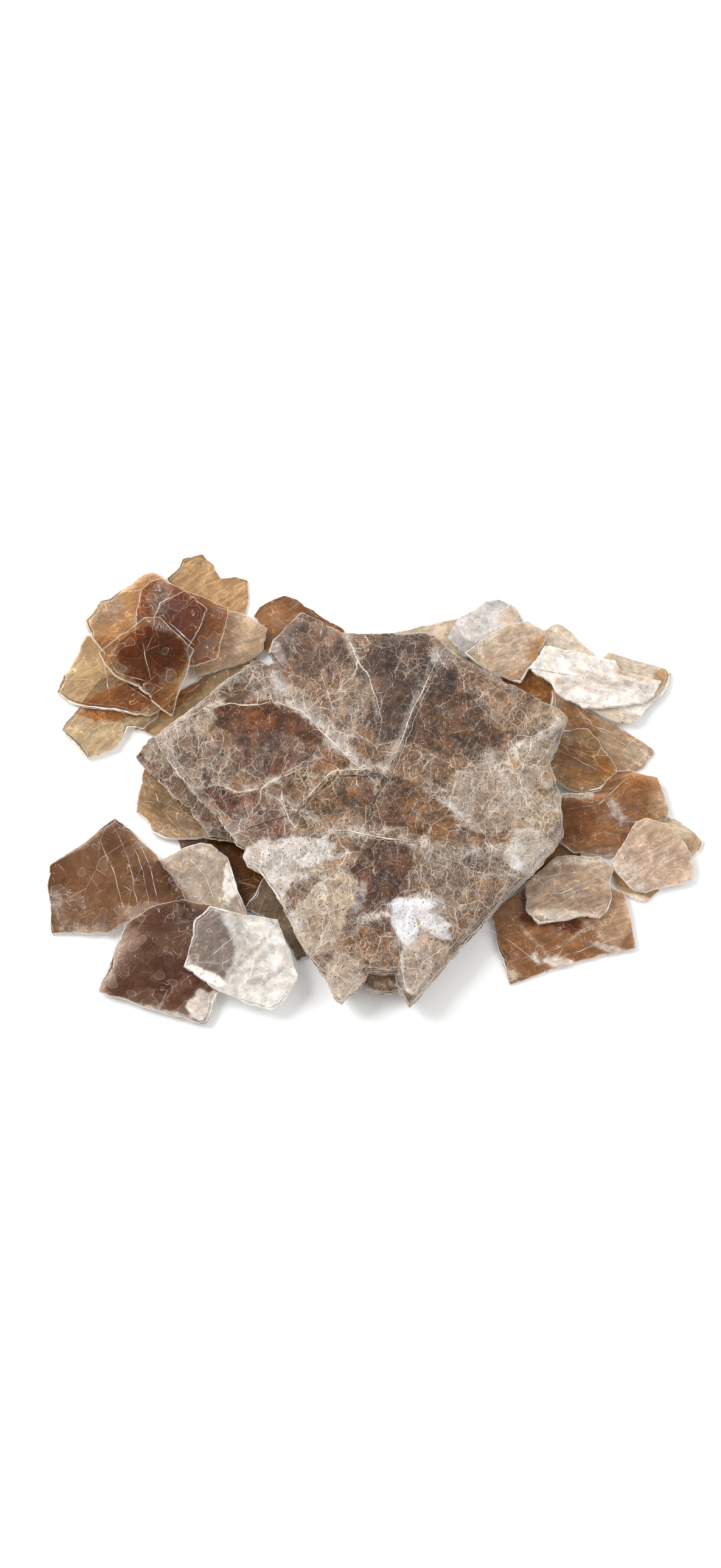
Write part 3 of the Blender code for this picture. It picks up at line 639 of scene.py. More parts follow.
leaf("rust_leaf", rust, "#b48254", 10, [
    (57.5, -8, 1, 5, 25, "#a08c88", 0.42, 0.6),  # shattered: rays
    (57.5, -8.5, 4, 0.8, -15, "#a08c88", 0.42, 0.6),
    (57, -7.5, 3.5, 0.7, 35, "#9c8680", 0.42, 0.6),
    (58, -10, 3, 0.6, 75, "#a4908c", 0.42, 0.65),
    (56.5, -5.5, 1.5, 1, 0, "#a89490", 0.5, 0.7),
    (62.5, 0.5, 5, 1.5, -10, "#b06a2a", 0.85, 0),  # orange
    (67, -5.5, 2, 4, 10, "#d8b890", 0.8, 0.15),  # beige
    (48, -10, 4, 5.5, 0, "#9c643c", 0.7, 0),  # dark
    (47.5, -3, 4, 1, 0, "#ead8c8", 0.6, 0.6),  # white edge
    (55, -17, 5, 1, 0, "#dcc4ac", 0.5, 0.5),  # pale foot
], steps=[[(45, -7), (53, -5.5), (61, 2.5)], [(53, -2.5), (57.5, -9.5), (68, -10)]])
leaf("hexagon_leaf", tan, "#e4cab4", 35, [
    (60.5, -24, 2, 4.5, 30, "#e0d0c0", 0.7, 0.4),  # pale rim
    (58, -19.5, 1.5, 4.5, -20, "#dccab8", 0.6, 0.4),  # pale edge
], steps=[[(57, -21), (63.5, -18), (72, -14)], [(59, -24), (73.5, -18)]])

# ---- the leaves in front on the left ----------------------------------------------------
# Seven leaves of biotite and muscovite, brown, grey and tan, and one as clear as glass with
# splintered ends.  They lie loose on each other, those at the back under the book's rim.
clear = leaf_mica("clear_muscovite_cleaved", "#f6f0ea", 80.0, 0.62, 0.06, 0.10, 0.8, 1.0)

leaf("olive_leaf", brown, "#7c4c08", 10)
leaf("grey_leaf", tan, "#8f7a66", 60)
leaf("left_tucked_leaf", tan, "#b8966e", -30, [
    # painted shade: the darker patch stands for the shade under the book's rim
    (-46.5, -8, 8.5, 4, -30, "#8a6c4c", 0.7, 0.1),  # shaded
    (-46, -12.5, 7, 1, 0, "#b8a080", 0.5, 0.4),  # pale foot
], steps=[[(-55, 2.5), (-52, -5), (-46, -13)], [(-51, 2.5), (-42, -8)]])
leaf("pale_front_leaf", silver, "#b8a99b", 40, [
    (-34, -23.5, 2, 7, -15, "#e4dcd2", 0.8, 0.75),  # bubbly
    (-46, -20.5, 3, 2.5, 0, "#a89484", 0.7, 0.2),  # grey
    (-40.5, -17.5, 2.5, 1, -20, "#e0d4c8", 0.6, 0.5),  # pale
], steps=[[(-36.5, -18), (-31, -34.5)], [(-46, -17.5), (-40.5, -23.5), (-37.5, -32.5)]])
leaf("wide_brown_leaf", brown, "#a67e5a", 70, [
    (-72.5, -31.5, 4.5, 4.5, 20, "#a88a74", 0.6, 0.25),  # mauve
    (-76, -29, 1.5, 3, 10, "#c8b4a4", 0.6, 0.45),  # white edge
    (-69, -36.5, 8, 1, 0, "#d0bcac", 0.5, 0.6),  # white foot
    (-67.5, -26, 3.5, 6, -60, "#ac8060", 0.6, 0.12),  # light
    (-62, -13.5, 5, 4, -40, "#84563a", 0.7, 0),  # dark top
    (-52.5, -25, 5, 4.5, -30, "#7c5440", 0.7, 0.05),  # dark right
    (-51, -33.5, 9, 3, -5, "#f0dcd0", 0.85, 0.15),  # thin where the block lies on it
    (-75, -23.5, 3, 3.5, 0, "#84583a", 0.6, 0),  # dark left
], steps=[[(-66.5, -12.5), (-62.5, -22), (-60, -31.5)], [(-63, -10), (-59, -19), (-56, -33.5)],
          [(-58.5, -14.5), (-55.5, -22), (-53.5, -31.5)],
          [(-57, -13.5), (-53.5, -22), (-51.5, -31.5)]])
leaf("dark_block_leaf", brown, "#94705c", 40, [
    # painted sheen, partly real frost: the white corner and white foot along the lower edge stand
    # for light caught there
    (-39.5, -55.5, 5, 3.5, 10, "#f0e6e0", 0.8, 0.7),  # white corner
    (-53.5, -56, 13, 0.5, -15, "#e8dcd0", 0.7, 0.7),  # white foot
    (-62, -44, 8, 1, 68, "#e0d0c4", 0.5, 0.55),  # white edge
    (-46, -34, 5, 2.5, -10, "#86665a", 0.7, 0.35),  # speckled
    (-50, -45, 3.5, 2.5, -30, "#c0a498", 0.6, 0.45),  # frosted cloud
    (-55, -46.5, 6, 5.5, 0, "#74503e", 0.7, 0.05),  # darkest
    (-41.5, -42, 4.5, 7, 20, "#a08070", 0.6, 0.2),  # mauve
    (-47, -48, 6, 4, -30, "#6a3e28", 0.8, -0.1),  # dark
    (-60, -51, 3, 2.5, 20, "#66391f", 0.8, 0),  # dark
    (-51.5, -51, 3, 1.5, -20, "#5c3420", 0.8, 0),
    (-48, -54.5, 2.5, 1, -10, "#7c4a2c", 0.8, 0.1),
    (-54, -41, 2, 1.5, 40, "#5e3a2a", 0.7, 0),
    (-45.5, -50.5, 3.5, 1.5, 30, "#a8867a", 0.6, 0.3),
])
leaf("clear_leaf", clear, "#ffffff", 30, [
    (-39.5, -41, 5.5, 9, 10, "#a89890", 0.9, 0.05),  # see-through
    # painted sheen, partly real frost: the white foot and bright patch stand for light caught off
    # the clear leaf
    (-40, -49, 5, 1.5, -25, "#fffcfc", 0.9, 0.9),  # white foot
    (-26.5, -46, 6.5, 9, 20, "#ffffff", 0.6, 0.5),  # bright
    (-28.5, -42.5, 5, 0.5, 45, "#d8c0b4", 0.7, 0.1),  # pink streaks
    (-24, -48.5, 4, 0.5, 40, "#dcc8bc", 0.6, 0.1),
    (-28.5, -50, 2, 1, 0, "#d0bcb0", 0.6, 0.1),
], steps=[[(-32, -38), (-37, -42.5), (-42.5, -46.5)], [(-27.5, -38), (-30.5, -53)],
          [(-22, -43), (-34, -49)]])

# ---- the book ---------------------------------------------------------------------------
# The crystal the leaves came off: hundreds of cleavage sheets grown together into one thick
# book.  It is weathered, so its face is crackled, iron-stained and frosted, and its sheets
# end in ragged steps.  It stands on its own flat base, and the leaves tuck in under its rim.
MIDDLE = (0.133, -1.5)              # mm, from the outlines' origin to the specimen's
BOOK_STEP = 0.45                    # mm between points along a tier's rim
BOOK_WEAR = 0.22                    # mm, the scale of the unevenness of a tier's rim
FOLD_RIDGE = (0.36, 0.05)           # mm, width and height of a healed fold
SWELL, SWELL_WIDTH = 0.95, 3.5      # mm, rise of the stack's face, and how far in
# mm above the table
BOOK_FLOOR, NOTCH_UNDERSIDE, TERRACE_UNDERSIDE, STACK_UNDERSIDE = 0.0, 1.2, 2.4, 3.3
FOOT_TOP, NOTCH_TOP, TERRACE_TOP, PLATE_UNDERSIDE, STACK_TOP = 3.5, 4.0, 4.1, 6.2, 6.5
LOWER_PLATE_TOP, PLATE_TOP, FLAKE_TOP = 7.4, 7.6, 8.0

BOOK_RIM = [
    (-25, 31.5), (-26.5, 34.5), (-25.5, 37), (-22.5, 40), (-18.5, 44), (-16.5, 43.5), (-8.5, 39),
    (-3, 38.5), (4.5, 38.5), (11.5, 39), (14, 38), (17, 35), (21, 31.5), (25, 29.5), (29.5, 27.5),
    (33, 24), (36.5, 22.5), (43, 19.5), (46, 16.5), (45, 14), (44, 10.5), (41.5, 5.5), (42.5, 1.5),
    (43.5, -2.5), (44.5, -7.5), (44.5, -12.5), (43, -15.5), (37.5, -22), (31.5, -28), (26, -34),
    (18.5, -43), (14, -48), (9, -54), (7.5, -55.5), (6.5, -54), (5, -52), (4, -48), (-2, -47.5),
    (-3, -50), (-7, -53.5), (-8.5, -55), (-10, -54), (-11, -52), (-12.5, -48), (-16.5, -43),
    (-20, -37), (-23.5, -29), (-26.5, -23.5), (-28.5, -21.5), (-31, -20.5), (-32, -18.5),
    (-31.5, -16.5), (-33.5, -15), (-37, -10.5), (-44, -2.5), (-48, 2.5), (-52, 8.5), (-53.5, 11.5),
    (-52.5, 13), (-49, 16), (-42, 21.5), (-36.5, 26.5), (-32, 30), (-29, 32), (-27, 31)]
BOOK_FOOT = [
    (-22, 27), (-9, 29), (2, 30), (11, 28.5), (24, 24), (33, 17), (35, 2), (35.5, -7), (26, -24.5),
    (23, -34), (16.5, -42), (11, -48), (8, -52), (6, -50), (4, -44), (-2.5, -44), (-5, -48),
    (-9, -51.5), (-10.5, -50), (-12, -44.5), (-11, -40), (-12.5, -31), (-13, -22), (-20, -16),
    (-28, -6), (-40, 6), (-41, 13.5), (-32, 23)]
LEFT_PLATE = [
    (-28, 30.5), (-25, 30.5), (-21.5, 28), (-17.5, 26.5), (-13, 21), (-9, 16.5), (-3, 9.5), (0, 2),
    (-2.5, 1), (-10, 1), (-16, -5), (-19, -8.5), (-31.5, -12.5), (-35.5, -9.5), (-42.5, -2),
    (-46.5, 3), (-51, 9.5), (-51, 12.5), (-47, 16), (-41, 21), (-36, 25.5), (-31, 29.5)]
RIGHT_PLATE = [
    (17, 32.5), (20.5, 29), (26, 26.5), (32.5, 25), (42, 19), (44.5, 16.5), (43, 10), (40.5, 5.5),
    (41.5, 1.5), (43, -7), (43.5, -12), (42, -14), (33, -15.5), (26, -17), (17.5, -17.5), (12, -16),
    (1.5, -14), (-1, -6), (2, 0), (6, 8), (9, 17), (12, 24), (14.5, 29)]
LOWER_PLATE = [
    (-31, -17), (-22.5, -15.5), (-14.5, -13), (-7.5, -12.5), (0, -14.2), (11.5, -16.5), (17, -18),
    (26, -17.7), (33, -16.2), (40.5, -16.5), (36.5, -21.5), (30.5, -28), (25, -33.5), (17.5, -42.5),
    (13, -47.5), (8.5, -53), (6.5, -52), (5, -47.5), (-2.5, -46.5), (-4, -49.5), (-8.5, -53),
    (-10.5, -51), (-12, -46.5), (-15.5, -42), (-18.5, -36.5), (-22, -28.5), (-25.5, -22.5),
    (-30, -19.5)]
CORNER_FLAKE = [
    (3, -30), (6, -27.5), (9, -27.2), (12, -30), (16.5, -34), (20.5, -38), (15.5, -44), (10, -51),
    (8, -53.5), (6.5, -52), (5.3, -46), (4, -37)]
LEFT_TERRACE = [
    (-50.5, 13.5), (-55, 12), (-57, 9), (-58, 7.5), (-56.5, 5), (-54, 3), (-50.5, -0.5),
    (-46.5, -5), (-44.5, -6.5), (-43.5, -9), (-41, -11), (-39.5, -13.5), (-36, -13.5), (-33, -14.5),
    (-30, -10), (-44, 5)]
NOTCH_LEDGE = [
    (-4, -48.5), (-3, -50.2), (-1, -51.2), (1.5, -51.6), (4, -51.6), (6, -50.5), (6, -46),
    (-4, -45)]

# lines of corners in mm where the sheets are bent and healed, first those that stand up
FOLDS = [
    [(-39, 17), (-35, 18), (-27.5, 17.5), (-24, 19)],  # above the rust-red window
    [(-24, 25.5), (-23, 20.5), (-24, 18.5), (-17.5, 16), (-13, 10.5), (-7, 4.5),
     (0, -2.5)],  # valley from the left shoulder
    [(-42, -3.5), (-37.5, -2.5), (-33, -4.5), (-27.5, -3.5), (-21.5, 0), (-16, 2)],
    [(-27.5, -4), (-22.5, -7), (-21, -11), (-18.5, -14)],
    [(-31.5, -19.5), (-28, -23), (-25.5, -27), (-21.5, -33), (-18.5, -37.5)],
    [(-8, 38), (-5.5, 31.5), (-4, 28.5), (-2, 25.5), (0, 19), (1, 14.5)],  # back vein
    [(15, 31), (12.5, 25), (9, 17.5), (6, 9), (2.5, 1)],  # back right vein
    LEFT_PLATE[7:12],  # along the left plate's own rim
    [(-14, -14.5), (-7, -14), (0, -15.5), (12, -17.5)]]  # along the front plates
CREASES = FOLDS + [
    [(-21.5, 0), (-11.5, -1), (-10.5, -4)],
    [(-26, -4), (-14.5, -11)],
    [(-25, -27.5), (-20, -27), (-8.5, -22.5), (-3, -21)],
    [(35, 10), (41, 10.5), (43.5, 13.5)],
    [(23.5, 4.5), (33.5, 6.5), (36.5, 10.5)],
    [(11.5, -2.5), (16, -7), (19.5, -9.5)],
    [(20, -19.5), (27.5, -18.5), (33, -18), (34, -22.5), (31, -25.5)]]

# stains, frost and clear windows, as tinted() reads them
BOOK_BASE = "#745b44"
BOOK_ZONES = [
    (-17.5, 32.5, 10, 7, -20, "#685244", 0.9, 0.12),  # grey brown at the back
    (6, 22.5, 11, 13, 10, "#4e3d33", 0.95, 0.06),  # the darkest, thickest part
    (-3, 19, 4.5, 7, -20, "#5e4838", 0.8, 0.1),
    (-7, 15.5, 4, 9, -15, "#8a7664", 0.7, 0.5),  # pale veins
    (16, 30.5, 3.5, 2.5, -40, "#857b74", 0.7, 0.5),
    (19, 13, 13, 7, -15, "#5c4431", 0.95, 0.08),  # right plate
    (31.5, 15.5, 6, 4.5, -20, "#846b50", 0.8, 0.4),
    (41.5, 16, 4.5, 3, -30, "#9a8466", 0.8, 0.5),
    (37.5, -2.5, 9, 14.5, 0, "#8a765c", 0.9, 0.6),  # weathered pale along the right
    (26, -5.5, 12.5, 9, 0, "#8e7c6a", 0.8, 0.6),
    (32, 24, 6, 2, -25, "#a09080", 0.6, 0.6),
    (3, -7, 9, 5.5, -8, "#60452f", 0.9, 0.08),  # the dome in the centre
    (12.5, -11, 6.5, 4.5, -20, "#745636", 0.9, 0.1),
    (-1.5, -15, 8.5, 2.5, 0, "#7e6a58", 0.6, 0.45),
    (-13, 12, 18, 2.5, -49, "#918276", 0.85, 0.55),  # frosted band along the valley
    (-29, 23, 6, 4.5, -15, "#7d6e62", 0.8, 0.5),  # bubbles under the top film
    (-34, 21, 4, 2.5, 0, "#664826", 0.8, 0.2),
    (-27, 13, 13, 5, -14, "#583414", 0.97, -0.1),  # rust-red window
    (-28, 13.5, 3.5, 2.5, 0, "#8c562a", 0.6, 0.04),
    (-24.5, 5, 9, 5.5, -5, "#6a5042", 0.92, 0.12),
    (-23.5, 2, 2.5, 2, 0, "#583418", 0.85, 0.05),
    (-46.5, 12, 10, 4.5, 38, "#86735f", 0.9, 0.58),  # frosted left shoulder
    (-42.5, 3, 9, 5, -35, "#685648", 0.85, 0.4),
    (-36.5, -6.5, 6, 2, -48, "#4e2a18", 0.9, 0.05),  # rust in the left slots
    (-33, -8, 2, 4, 15, "#55301a", 0.8, 0.05),
    (-27.5, -11, 7.5, 6, -30, "#6a5042", 0.9, 0.3),
    (-13.5, -4, 8, 5, -10, "#6c4e28", 0.9, 0.2),  # olive centre
    (-8, 2, 6, 2.5, -35, "#7a542e", 0.9, 0.15),
    (-21.5, -21, 14.5, 5, 10, "#a2968a", 0.95, 0.85),  # pale front left plate
    (-8, -17.5, 2, 1.5, 40, "#7a5836", 0.85, 0.2),
    (-10.5, -22.5, 8.5, 1.5, 18, "#8d6c48", 0.7, 0.3),
    (2, -24, 5.5, 9, -10, "#503522", 0.95, 0.02),  # dark lobe in front
    (-3, -29, 5, 6.5, 0, "#583d2e", 0.85, 0.15),
    (-3, -41, 6, 4, -10, "#71543a", 0.8, 0.32),
    (-4.5, -31, 1.5, 4, -20, "#8c8488", 0.8, 0.4),
    (21.5, -24.5, 11.5, 6, -10, "#6e5e52", 0.85, 0.42),
    (22.5, -31.5, 9, 5, 30, "#745c46", 0.85, 0.4),
    (36, -19.5, 6.5, 5, -20, "#b0a698", 0.8, 0.66),  # pale front right
    (10, -37, 5.5, 7.5, -20, "#8e8279", 0.85, 0.65),  # the corner flake
    (8.5, -32.5, 5, 1.5, 0, "#d4d6de", 0.9, 1.0),  # its silvery burst
    (6.5, -38, 2.5, 5, 15, "#ccced6", 0.9, 1.0),
    (13, -37, 5.5, 2, -40, "#c0c0c6", 0.8, 0.9),
    (-1, -35.5, 5, 1, 10, "#b0a8a8", 0.7, 0.7),
    (9, -48, 3.5, 7, 0, "#a69c94", 0.8, 0.85),
    (12, -48, 6, 6, 40, "#a28e7c", 0.8, 0.5),
    (-13, -34.5, 6.5, 10.5, -35, "#a39480", 0.85, 0.55),
    (-23.5, -29, 2, 7.5, -30, "#beb4a6", 0.8, 0.7),
    # painted shadow: the near-black patch stands for the shade inside the small crack at the
    # junction
    (1, -0.5, 5, 0.8, -10, "#241a10", 0.9, 0),  # black crumbs at the junction
    (-8, -51, 4.5, 6.5, 0, "#a09080", 0.8, 0.6),
]


def distance_to_lines(x, y, lines):
    """Distance in mm from each point to the nearest of several lines of corners.

    For each straight stretch the point is dropped square onto it, held between its two ends,
    and the least of the distances counts.
    """
    nearest = np.full(len(x), 1e9)
    for line in lines:
        for (x1, y1), (x2, y2) in zip(line[:-1], line[1:]):
            dx, dy = x2 - x1, y2 - y1
            along = np.clip(((x - x1) * dx + (y - y1) * dy) / (dx * dx + dy * dy), 0, 1)
            nearest = np.minimum(nearest, np.hypot(x - x1 - along * dx, y - y1 - along * dy))
    return nearest


def book_relief(x, y):
    """Height in mm of the book's uneven face over its flat tiers.

    Folds rise by a bell curve of the distance to the creases; crumples are where a random
    field passes through zero; broad waves and fine pits are random fields.
    """
    fold = 0.30 * np.exp(-(distance_to_lines(x, y, CREASES) / 0.9) ** 2)
    crumple = (1 - np.abs(layered_field(x, y, 6.0, 501))) ** 6 * 0.16
    fine = (1 - np.abs(rough_field(x, y, 2.4, 502))) ** 5 * 0.08
    return (fold + crumple + fine + 0.16 * layered_field(x, y, 11.0, 503)
            + 0.05 * layered_field(x, y, 1.5, 504))


def weathered_mica(name):
    """Crackled, stained face of an old mica book.

    Millions of small cleavage cracks scatter the light, so the face is brown with cream
    crack lines in cells of 1.3 to 11 mm and with milky flakes.  The film on top shines.
    """
    material, add, tint, frost, inset, line = marked_material(name)
    place = add("TexCoord").outputs["Object"]
    bent = wandering(add, place, 3.5, 3.0, 2.4)
    broad = add("TexNoise", (place, 1 / 0.007, 3.0))
    broad = add("SeparateColor", (broad.outputs["Color"],)).outputs
    clouds = add("TexNoise", (bent, 1 / 0.0030, 7.0, 0.72))
    cloud = add("SeparateColor", (clouds.outputs["Color"],)).outputs
    cracks = crack_nets(add, frost, 0.42, (
        (bent, 1.3, 0.015, 0.05, 0.80, broad["Red"], 0.54, 0.76),
        (bent, 2.6, 0.021, 0.07, 0.90, broad["Green"], 0.48, 0.72),
        (bent, 5.5, 0.030, 0.10, 0.95, broad["Blue"], 0.50, 0.68),
        (bent, 11.0, 0.039, 0.13, 1.00, broad["Red"], 0.52, 0.62)))
    # curls: where a 3 mm noise passes through two of its values
    curl = add("TexNoise", (bent, 1 / 0.0032, 1.0))
    curls = [contour(add, curl, level, 0.002, 0.009, 0.4, 0.0) for level in (0.42, 0.58)]
    cracks = combined(add, "MAXIMUM", (cracks, *curls))
    # cracks open and close along their length, and open widest in the frost
    opened = gated(add, frost, 0.30, cloud["Red"], 0.40, 0.64, 0.25, 1.0)
    cracks = combined(add, "MULTIPLY", (cracks, opened))

    # each flake between cracks has its own tone, and clouds run over them
    flake = add("TexVoronoi", (bent, 1 / 0.0026))
    flake = add("SeparateColor", (flake.outputs["Color"],)).outputs
    pane = add("TexVoronoi", (bent, 1 / 0.0055))
    pane = add("SeparateColor", (pane.outputs["Color"],))
    tone = add("MapRange", (flake["Red"], 0.0, 1.0, 0.74, 1.24))
    pane = add("MapRange", (pane, 0.0, 1.0, 0.82, 1.12))
    haze = add("MapRange", (clouds, 0.36, 0.64, 0.38, 1.40))
    shade = combined(add, "MULTIPLY", (tone, pane, haze))
    body = stained(add, tint, cloud["Green"], shade, (0.78, 0.71, 0.73), (1.02, 0.79, 0.54))
    # the frostier the place, the more even its colour
    even = add("VectorMath", (tint, tone), operation="SCALE")
    calm = add("MapRange", (frost, 0.30, 0.75, 0.0, 0.65))
    body = add("Mix", (calm, body, even), data_type="RGBA")
    # milk: clouds and flakes full of air, the more the frostier the place
    full = gated(add, frost, 0.22, cloud["Blue"], 0.60, 0.78, 0.0, 0.75)
    some = gated(add, frost, 0.45, flake["Blue"], 1.06, 1.10, 0.0, 0.26)
    milk = combined(add, "MAXIMUM", (full, some))
    snow = add("MapRange", (frost, 0.45, 0.95))
    snow = add("Mix", (snow, "#a69684", "#dcdadb"), data_type="RGBA")
    body = add("Mix", (milk, body, snow), data_type="RGBA")
    # the cracks lighten what they cross
    lit = add("VectorMath", (body, (0.75,) * 3, (0.34, 0.30, 0.25)),
              operation="MULTIPLY_ADD")
    body = add("Mix", (cracks, body, lit), data_type="RGBA")
    # rims, broken edges and white points a fifth of a millimetre across
    band = add("MapRange", (inset, 0.05, 0.4, 0.55, 0.0))
    ledge = add("MapRange", (line, 0.45, 0.9, 0.0, 0.8))
    point, pick = specks(add, place, 1.6, 0.03, 0.09, 0.8)
    pick = add("Math", (pick, 0.84), operation="GREATER_THAN")
    point = combined(add, "MULTIPLY", (point, pick))
    white = combined(add, "MAXIMUM", (band, ledge, point))
    # specks of iron oxide, a third of a millimetre across
    speck, pick = specks(add, bent, 1.3, 0.08, 0.14, 0.9)
    pick = add("Math", (frost, 0.35, pick), operation="MULTIPLY_ADD")
    pick = add("Math", (pick, 0.74), operation="GREATER_THAN")
    speck = combined(add, "MULTIPLY", (speck, pick))
    for amount, colour in ((white, "#dfd3c4"), (speck, "#2e1e10")):
        body = add("Mix", (amount, body, colour), data_type="RGBA")

    height = add("Math", (flake["Green"], 0.35, clouds), operation="MULTIPLY_ADD")
    height = add("Math", (cracks, 0.5, height), operation="MULTIPLY_ADD")
    bump = add("Bump", {"Height": height, "Strength": 0.6, "Distance": 0.25 * MM})
    dull = add("MapRange", (white, 0.0, 1.0, 0.28, 0.50))
    connect(material.node_tree.nodes["Principled BSDF"], {
        "Base Color": body, "Roughness": dull, "Normal": bump, "IOR": MICA_IOR})
    return material


weathered = weathered_mica("weathered_mica_book")


def book_tier(name, corners, middle, rings, sheets, raggedness, top, underside, seed):
    """One tier of the book, made of sheets that end unevenly one under the other.

    Every sheet has its own inset, raggedness (0.5 + 0.5 loop_field) + 0.12 (1 + loop_field)
    mm, and the sheets share the tier's height evenly.  Frost gathers along the creases.
    """
    outline = np.array(corners, float)
    area = np.sum(outline[:, 0] * np.roll(outline[:, 1], -1)
                  - outline[:, 1] * np.roll(outline[:, 0], -1))
    outline = outline if area > 0 else outline[::-1]
    outline = outline + MIDDLE
    rim, share, length = broken_rim(outline, BOOK_STEP, BOOK_WEAR, seed)
    ledges = []
    for sheet in range(sheets):
        inset = raggedness * (0.5 + 0.5 * loop_field(share, length, 4.5, seed + 30 + sheet))
        inset = inset + 0.12 * (1 + loop_field(share, length, 0.9, seed + 60 + sheet))
        ledges += [(inset, sheet / sheets), (inset, (sheet + 0.93) / sheets)]
    ledges[-1] = (ledges[-1][0], 1.0)
    middle = np.array(middle, float) + MIDDLE
    points, faces, marks = plate_surface(rim, middle, rings, ledges, top,
                                         lambda x, y: underside + 0 * x)
    x, y = points[:, 0], points[:, 1]
    colour = tinted(x, y, BOOK_BASE, BOOK_ZONES, 700, 0.30)
    colour[:, 3] += 0.30 * np.exp(-(distance_to_lines(x, y, CREASES) / 1.4) ** 2)
    smooth = np.ones(len(faces), bool)    # but for the sheets' ends
    smooth[(rings - 1) * len(rim):(rings + 2 * sheets) * len(rim)] = False
    show_piece(name, points, faces, smooth, {"tint": colour, **marks}, weathered,
               "mica_book")


def sloping(height, slope_x, slope_y, corners):
    """A tier's top: a plane of the given slopes, at height over its middle, with relief."""
    cx, cy = np.mean(corners, axis=0) + MIDDLE
    return lambda x, y: (height + (x - cx) * slope_x + (y - cy) * slope_y
                         + book_relief(x, y))


stack_plane = sloping(STACK_TOP, 0.004, -0.004, BOOK_RIM)
stack_rim = np.array(BOOK_RIM + BOOK_RIM[:1]) + MIDDLE


def stack_top(x, y):
    """The stack's face: its plane, and SWELL eased(t), t = distance in / SWELL_WIDTH."""
    t = np.clip(distance_to_lines(x, y, [stack_rim]) / SWELL_WIDTH, 0, 1)
    return stack_plane(x, y) + SWELL * eased(t)


# name, corners, middle, rings, sheets, raggedness, top, underside, seed
TIERS = [
    ("foot", BOOK_FOOT, (0, -8), 8, 6, 0.8, lambda x, y: FOOT_TOP + 0 * x, BOOK_FLOOR, 801),
    ("stack", BOOK_RIM, (0, -5), 60, 8, 0.9, stack_top, STACK_UNDERSIDE, 802),
    ("left_plate", LEFT_PLATE, (-24, 8), 34, 3, 0.5,
     sloping(PLATE_TOP, 0.012, -0.006, LEFT_PLATE), PLATE_UNDERSIDE, 837),
    ("right_plate", RIGHT_PLATE, (22, 4), 34, 3, 0.5,
     sloping(PLATE_TOP, -0.010, 0.006, RIGHT_PLATE), PLATE_UNDERSIDE, 837),
    ("lower_plate", LOWER_PLATE, (1, -29), 34, 3, 0.5,
     sloping(LOWER_PLATE_TOP, 0.0, 0.010, LOWER_PLATE), PLATE_UNDERSIDE, 837),
    ("corner_flake", CORNER_FLAKE, (10, -38), 20, 2, 0.3,
     sloping(FLAKE_TOP, 0.0, -0.010, CORNER_FLAKE), PLATE_UNDERSIDE, 823),
    ("left_terrace", LEFT_TERRACE, (-45, -2), 16, 4, 0.9,
     sloping(TERRACE_TOP, 0.0, 0.0, LEFT_TERRACE), TERRACE_UNDERSIDE, 807),
    ("notch_ledge", NOTCH_LEDGE, (1, -48), 10, 4, 0.4,
     sloping(NOTCH_TOP, 0.0, 0.0, NOTCH_LEDGE), NOTCH_UNDERSIDE, 808)]
for tier, *form in TIERS:
    book_tier("mica_book_" + tier, *form)


def book_face(x, y):
    """Height of the book's face: its stack, and each plate or flake round the point.

    A point is inside when an odd number of the outline's sides pass to the right of it.
    """
    height = stack_top(x, y)
    for _, corners, _, _, _, _, top, _, _ in TIERS[2:6]:
        px, py = (np.array(corners) + MIDDLE).T
        qx, qy = np.roll(px, -1), np.roll(py, -1)
        rise = np.where(qy == py, 1e-9, qy - py)
        level = y[:, None]
        passes = ((py > level) != (qy > level)) & (
            px + (level - py) / rise * (qx - px) > x[:, None])
        height = np.where(passes.sum(axis=1) % 2 == 1, top(x, y), height)
    return height


points, faces = raised_lines(FOLDS, *FOLD_RIDGE, book_face)
worn = 0.85 + 0.4 * rough_field(*points[:, :2].T, 2.2, 95)
show_piece("mica_book_healed_folds", points, faces, np.zeros(len(faces), bool), {
    "tint": tinted(*points[:, :2].T, "#b8a488", (), 90, 0.5), "inset": 5 + 0 * worn,
    "line": worn, "under": 0 * worn}, weathered, "mica_book")

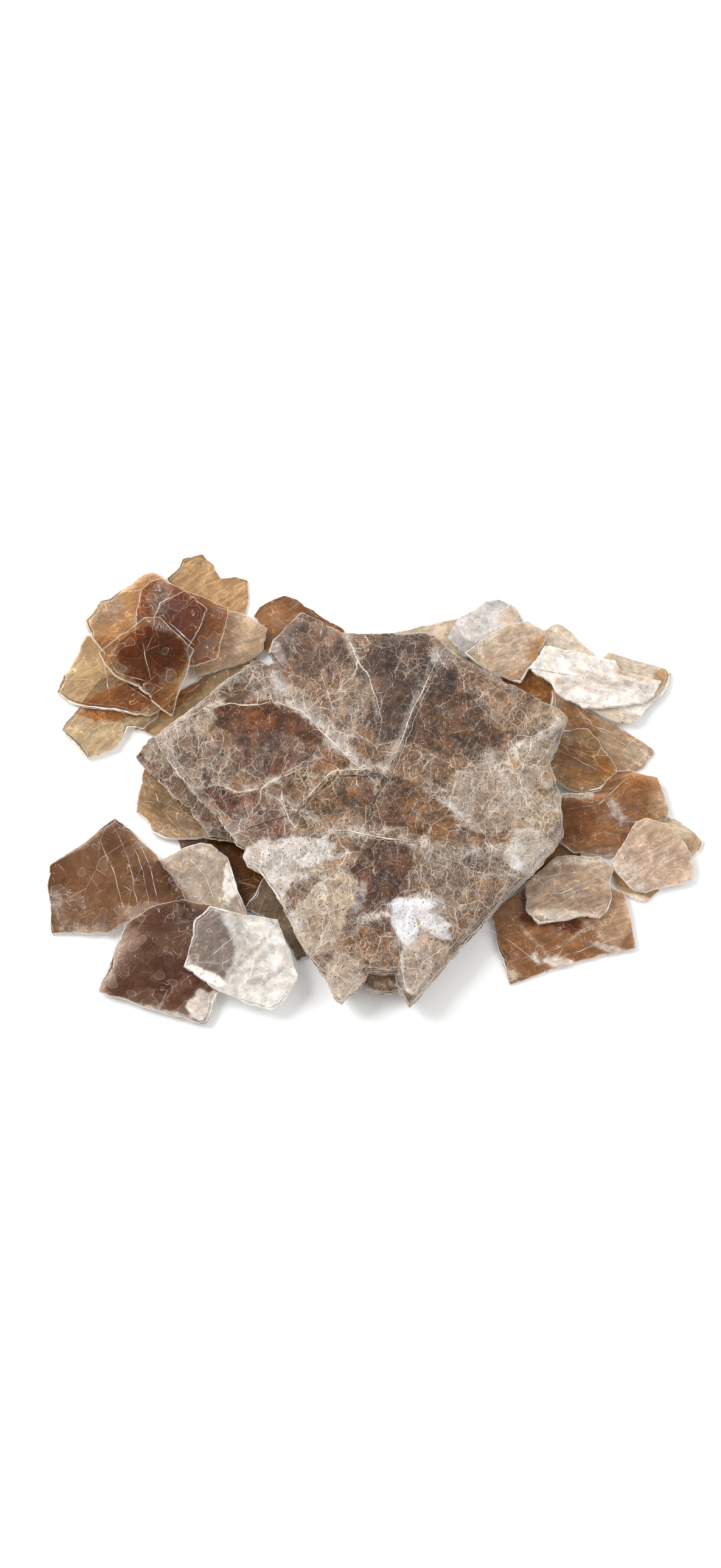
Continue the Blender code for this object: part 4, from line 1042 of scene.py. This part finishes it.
# ---- the table, the light and the camera ------------------------------------------------
# A pale matt table top, sprayed flat white, which stands in for the studio sweep.  The light
# comes from a white tent, dim straight overhead where it is open, and two soft boxes.
TABLE_REACH = 4.0         # m from the middle to each side
TABLE_LEVEL = -0.00002    # m, a hair under the crystal's foot
mesh = bpy.data.meshes.new("table_top")
mesh.from_pydata([(x * TABLE_REACH, y * TABLE_REACH, TABLE_LEVEL)
                  for x, y in ((-1, -1), (1, -1), (1, 1), (-1, 1))], [], [(0, 1, 2, 3)])
table = bpy.data.objects.new("table_top", mesh)
bpy.context.scene.collection.objects.link(table)
paint = bpy.data.materials.new("white_matt_paint")
paint.use_nodes = True
connect(paint.node_tree.nodes["Principled BSDF"], {
    "Base Color": "#f4f4f3", "Roughness": 0.9, "Specular IOR Level": 0.1})
mesh.materials.append(paint)

sky = bpy.data.worlds.new("studio_fill")
bpy.context.scene.world = sky
sky.use_nodes = True
add = partial(add_node, sky.node_tree)
down = add("SeparateXYZ", (add("NewGeometry").outputs["Incoming"],)).outputs["Z"]
tent = add("MapRange", (down, -0.93, -0.78, 0.22, 0.95))
connect(sky.node_tree.nodes["Background"], {"Color": "#fdfeff", "Strength": tent})


def softbox(name, place, aim, width, watts):
    """A square soft light at place, turned towards aim, in metres."""
    lamp = bpy.data.lights.new(name, "AREA")
    lamp.size = width
    lamp.energy = watts
    item = bpy.data.objects.new(name, lamp)
    item.location = place
    item.rotation_euler = (Vector(aim) - Vector(place)).to_track_quat("-Z", "Y").to_euler()
    bpy.context.scene.collection.objects.link(item)


softbox("left_softbox", (-0.85, 0.45, 0.70), (0.0, 0.0, 0.0), 0.70, 15.0)
softbox("right_softbox", (0.95, 0.10, 0.65), (0.0, 0.0, 0.0), 0.70, 5.0)

lens = bpy.data.cameras.new("camera")
lens.lens = 100.0
lens.sensor_width = 36.0
lens.clip_start, lens.clip_end = 0.05, 10.0
camera = bpy.data.objects.new("camera", lens)
bpy.context.scene.collection.objects.link(camera)
aim = Vector((-3.867, -1.0, 4.0)) * MM
distance, rise = 1.0376, math.radians(70)    # m, and the angle above the table
camera.location = aim + Vector((0, -math.cos(rise), math.sin(rise))) * distance
camera.rotation_euler = (aim - camera.location).to_track_quat("-Z", "Y").to_euler()
bpy.context.scene.camera = camera
bpy.context.scene.view_settings.view_transform = "Standard"
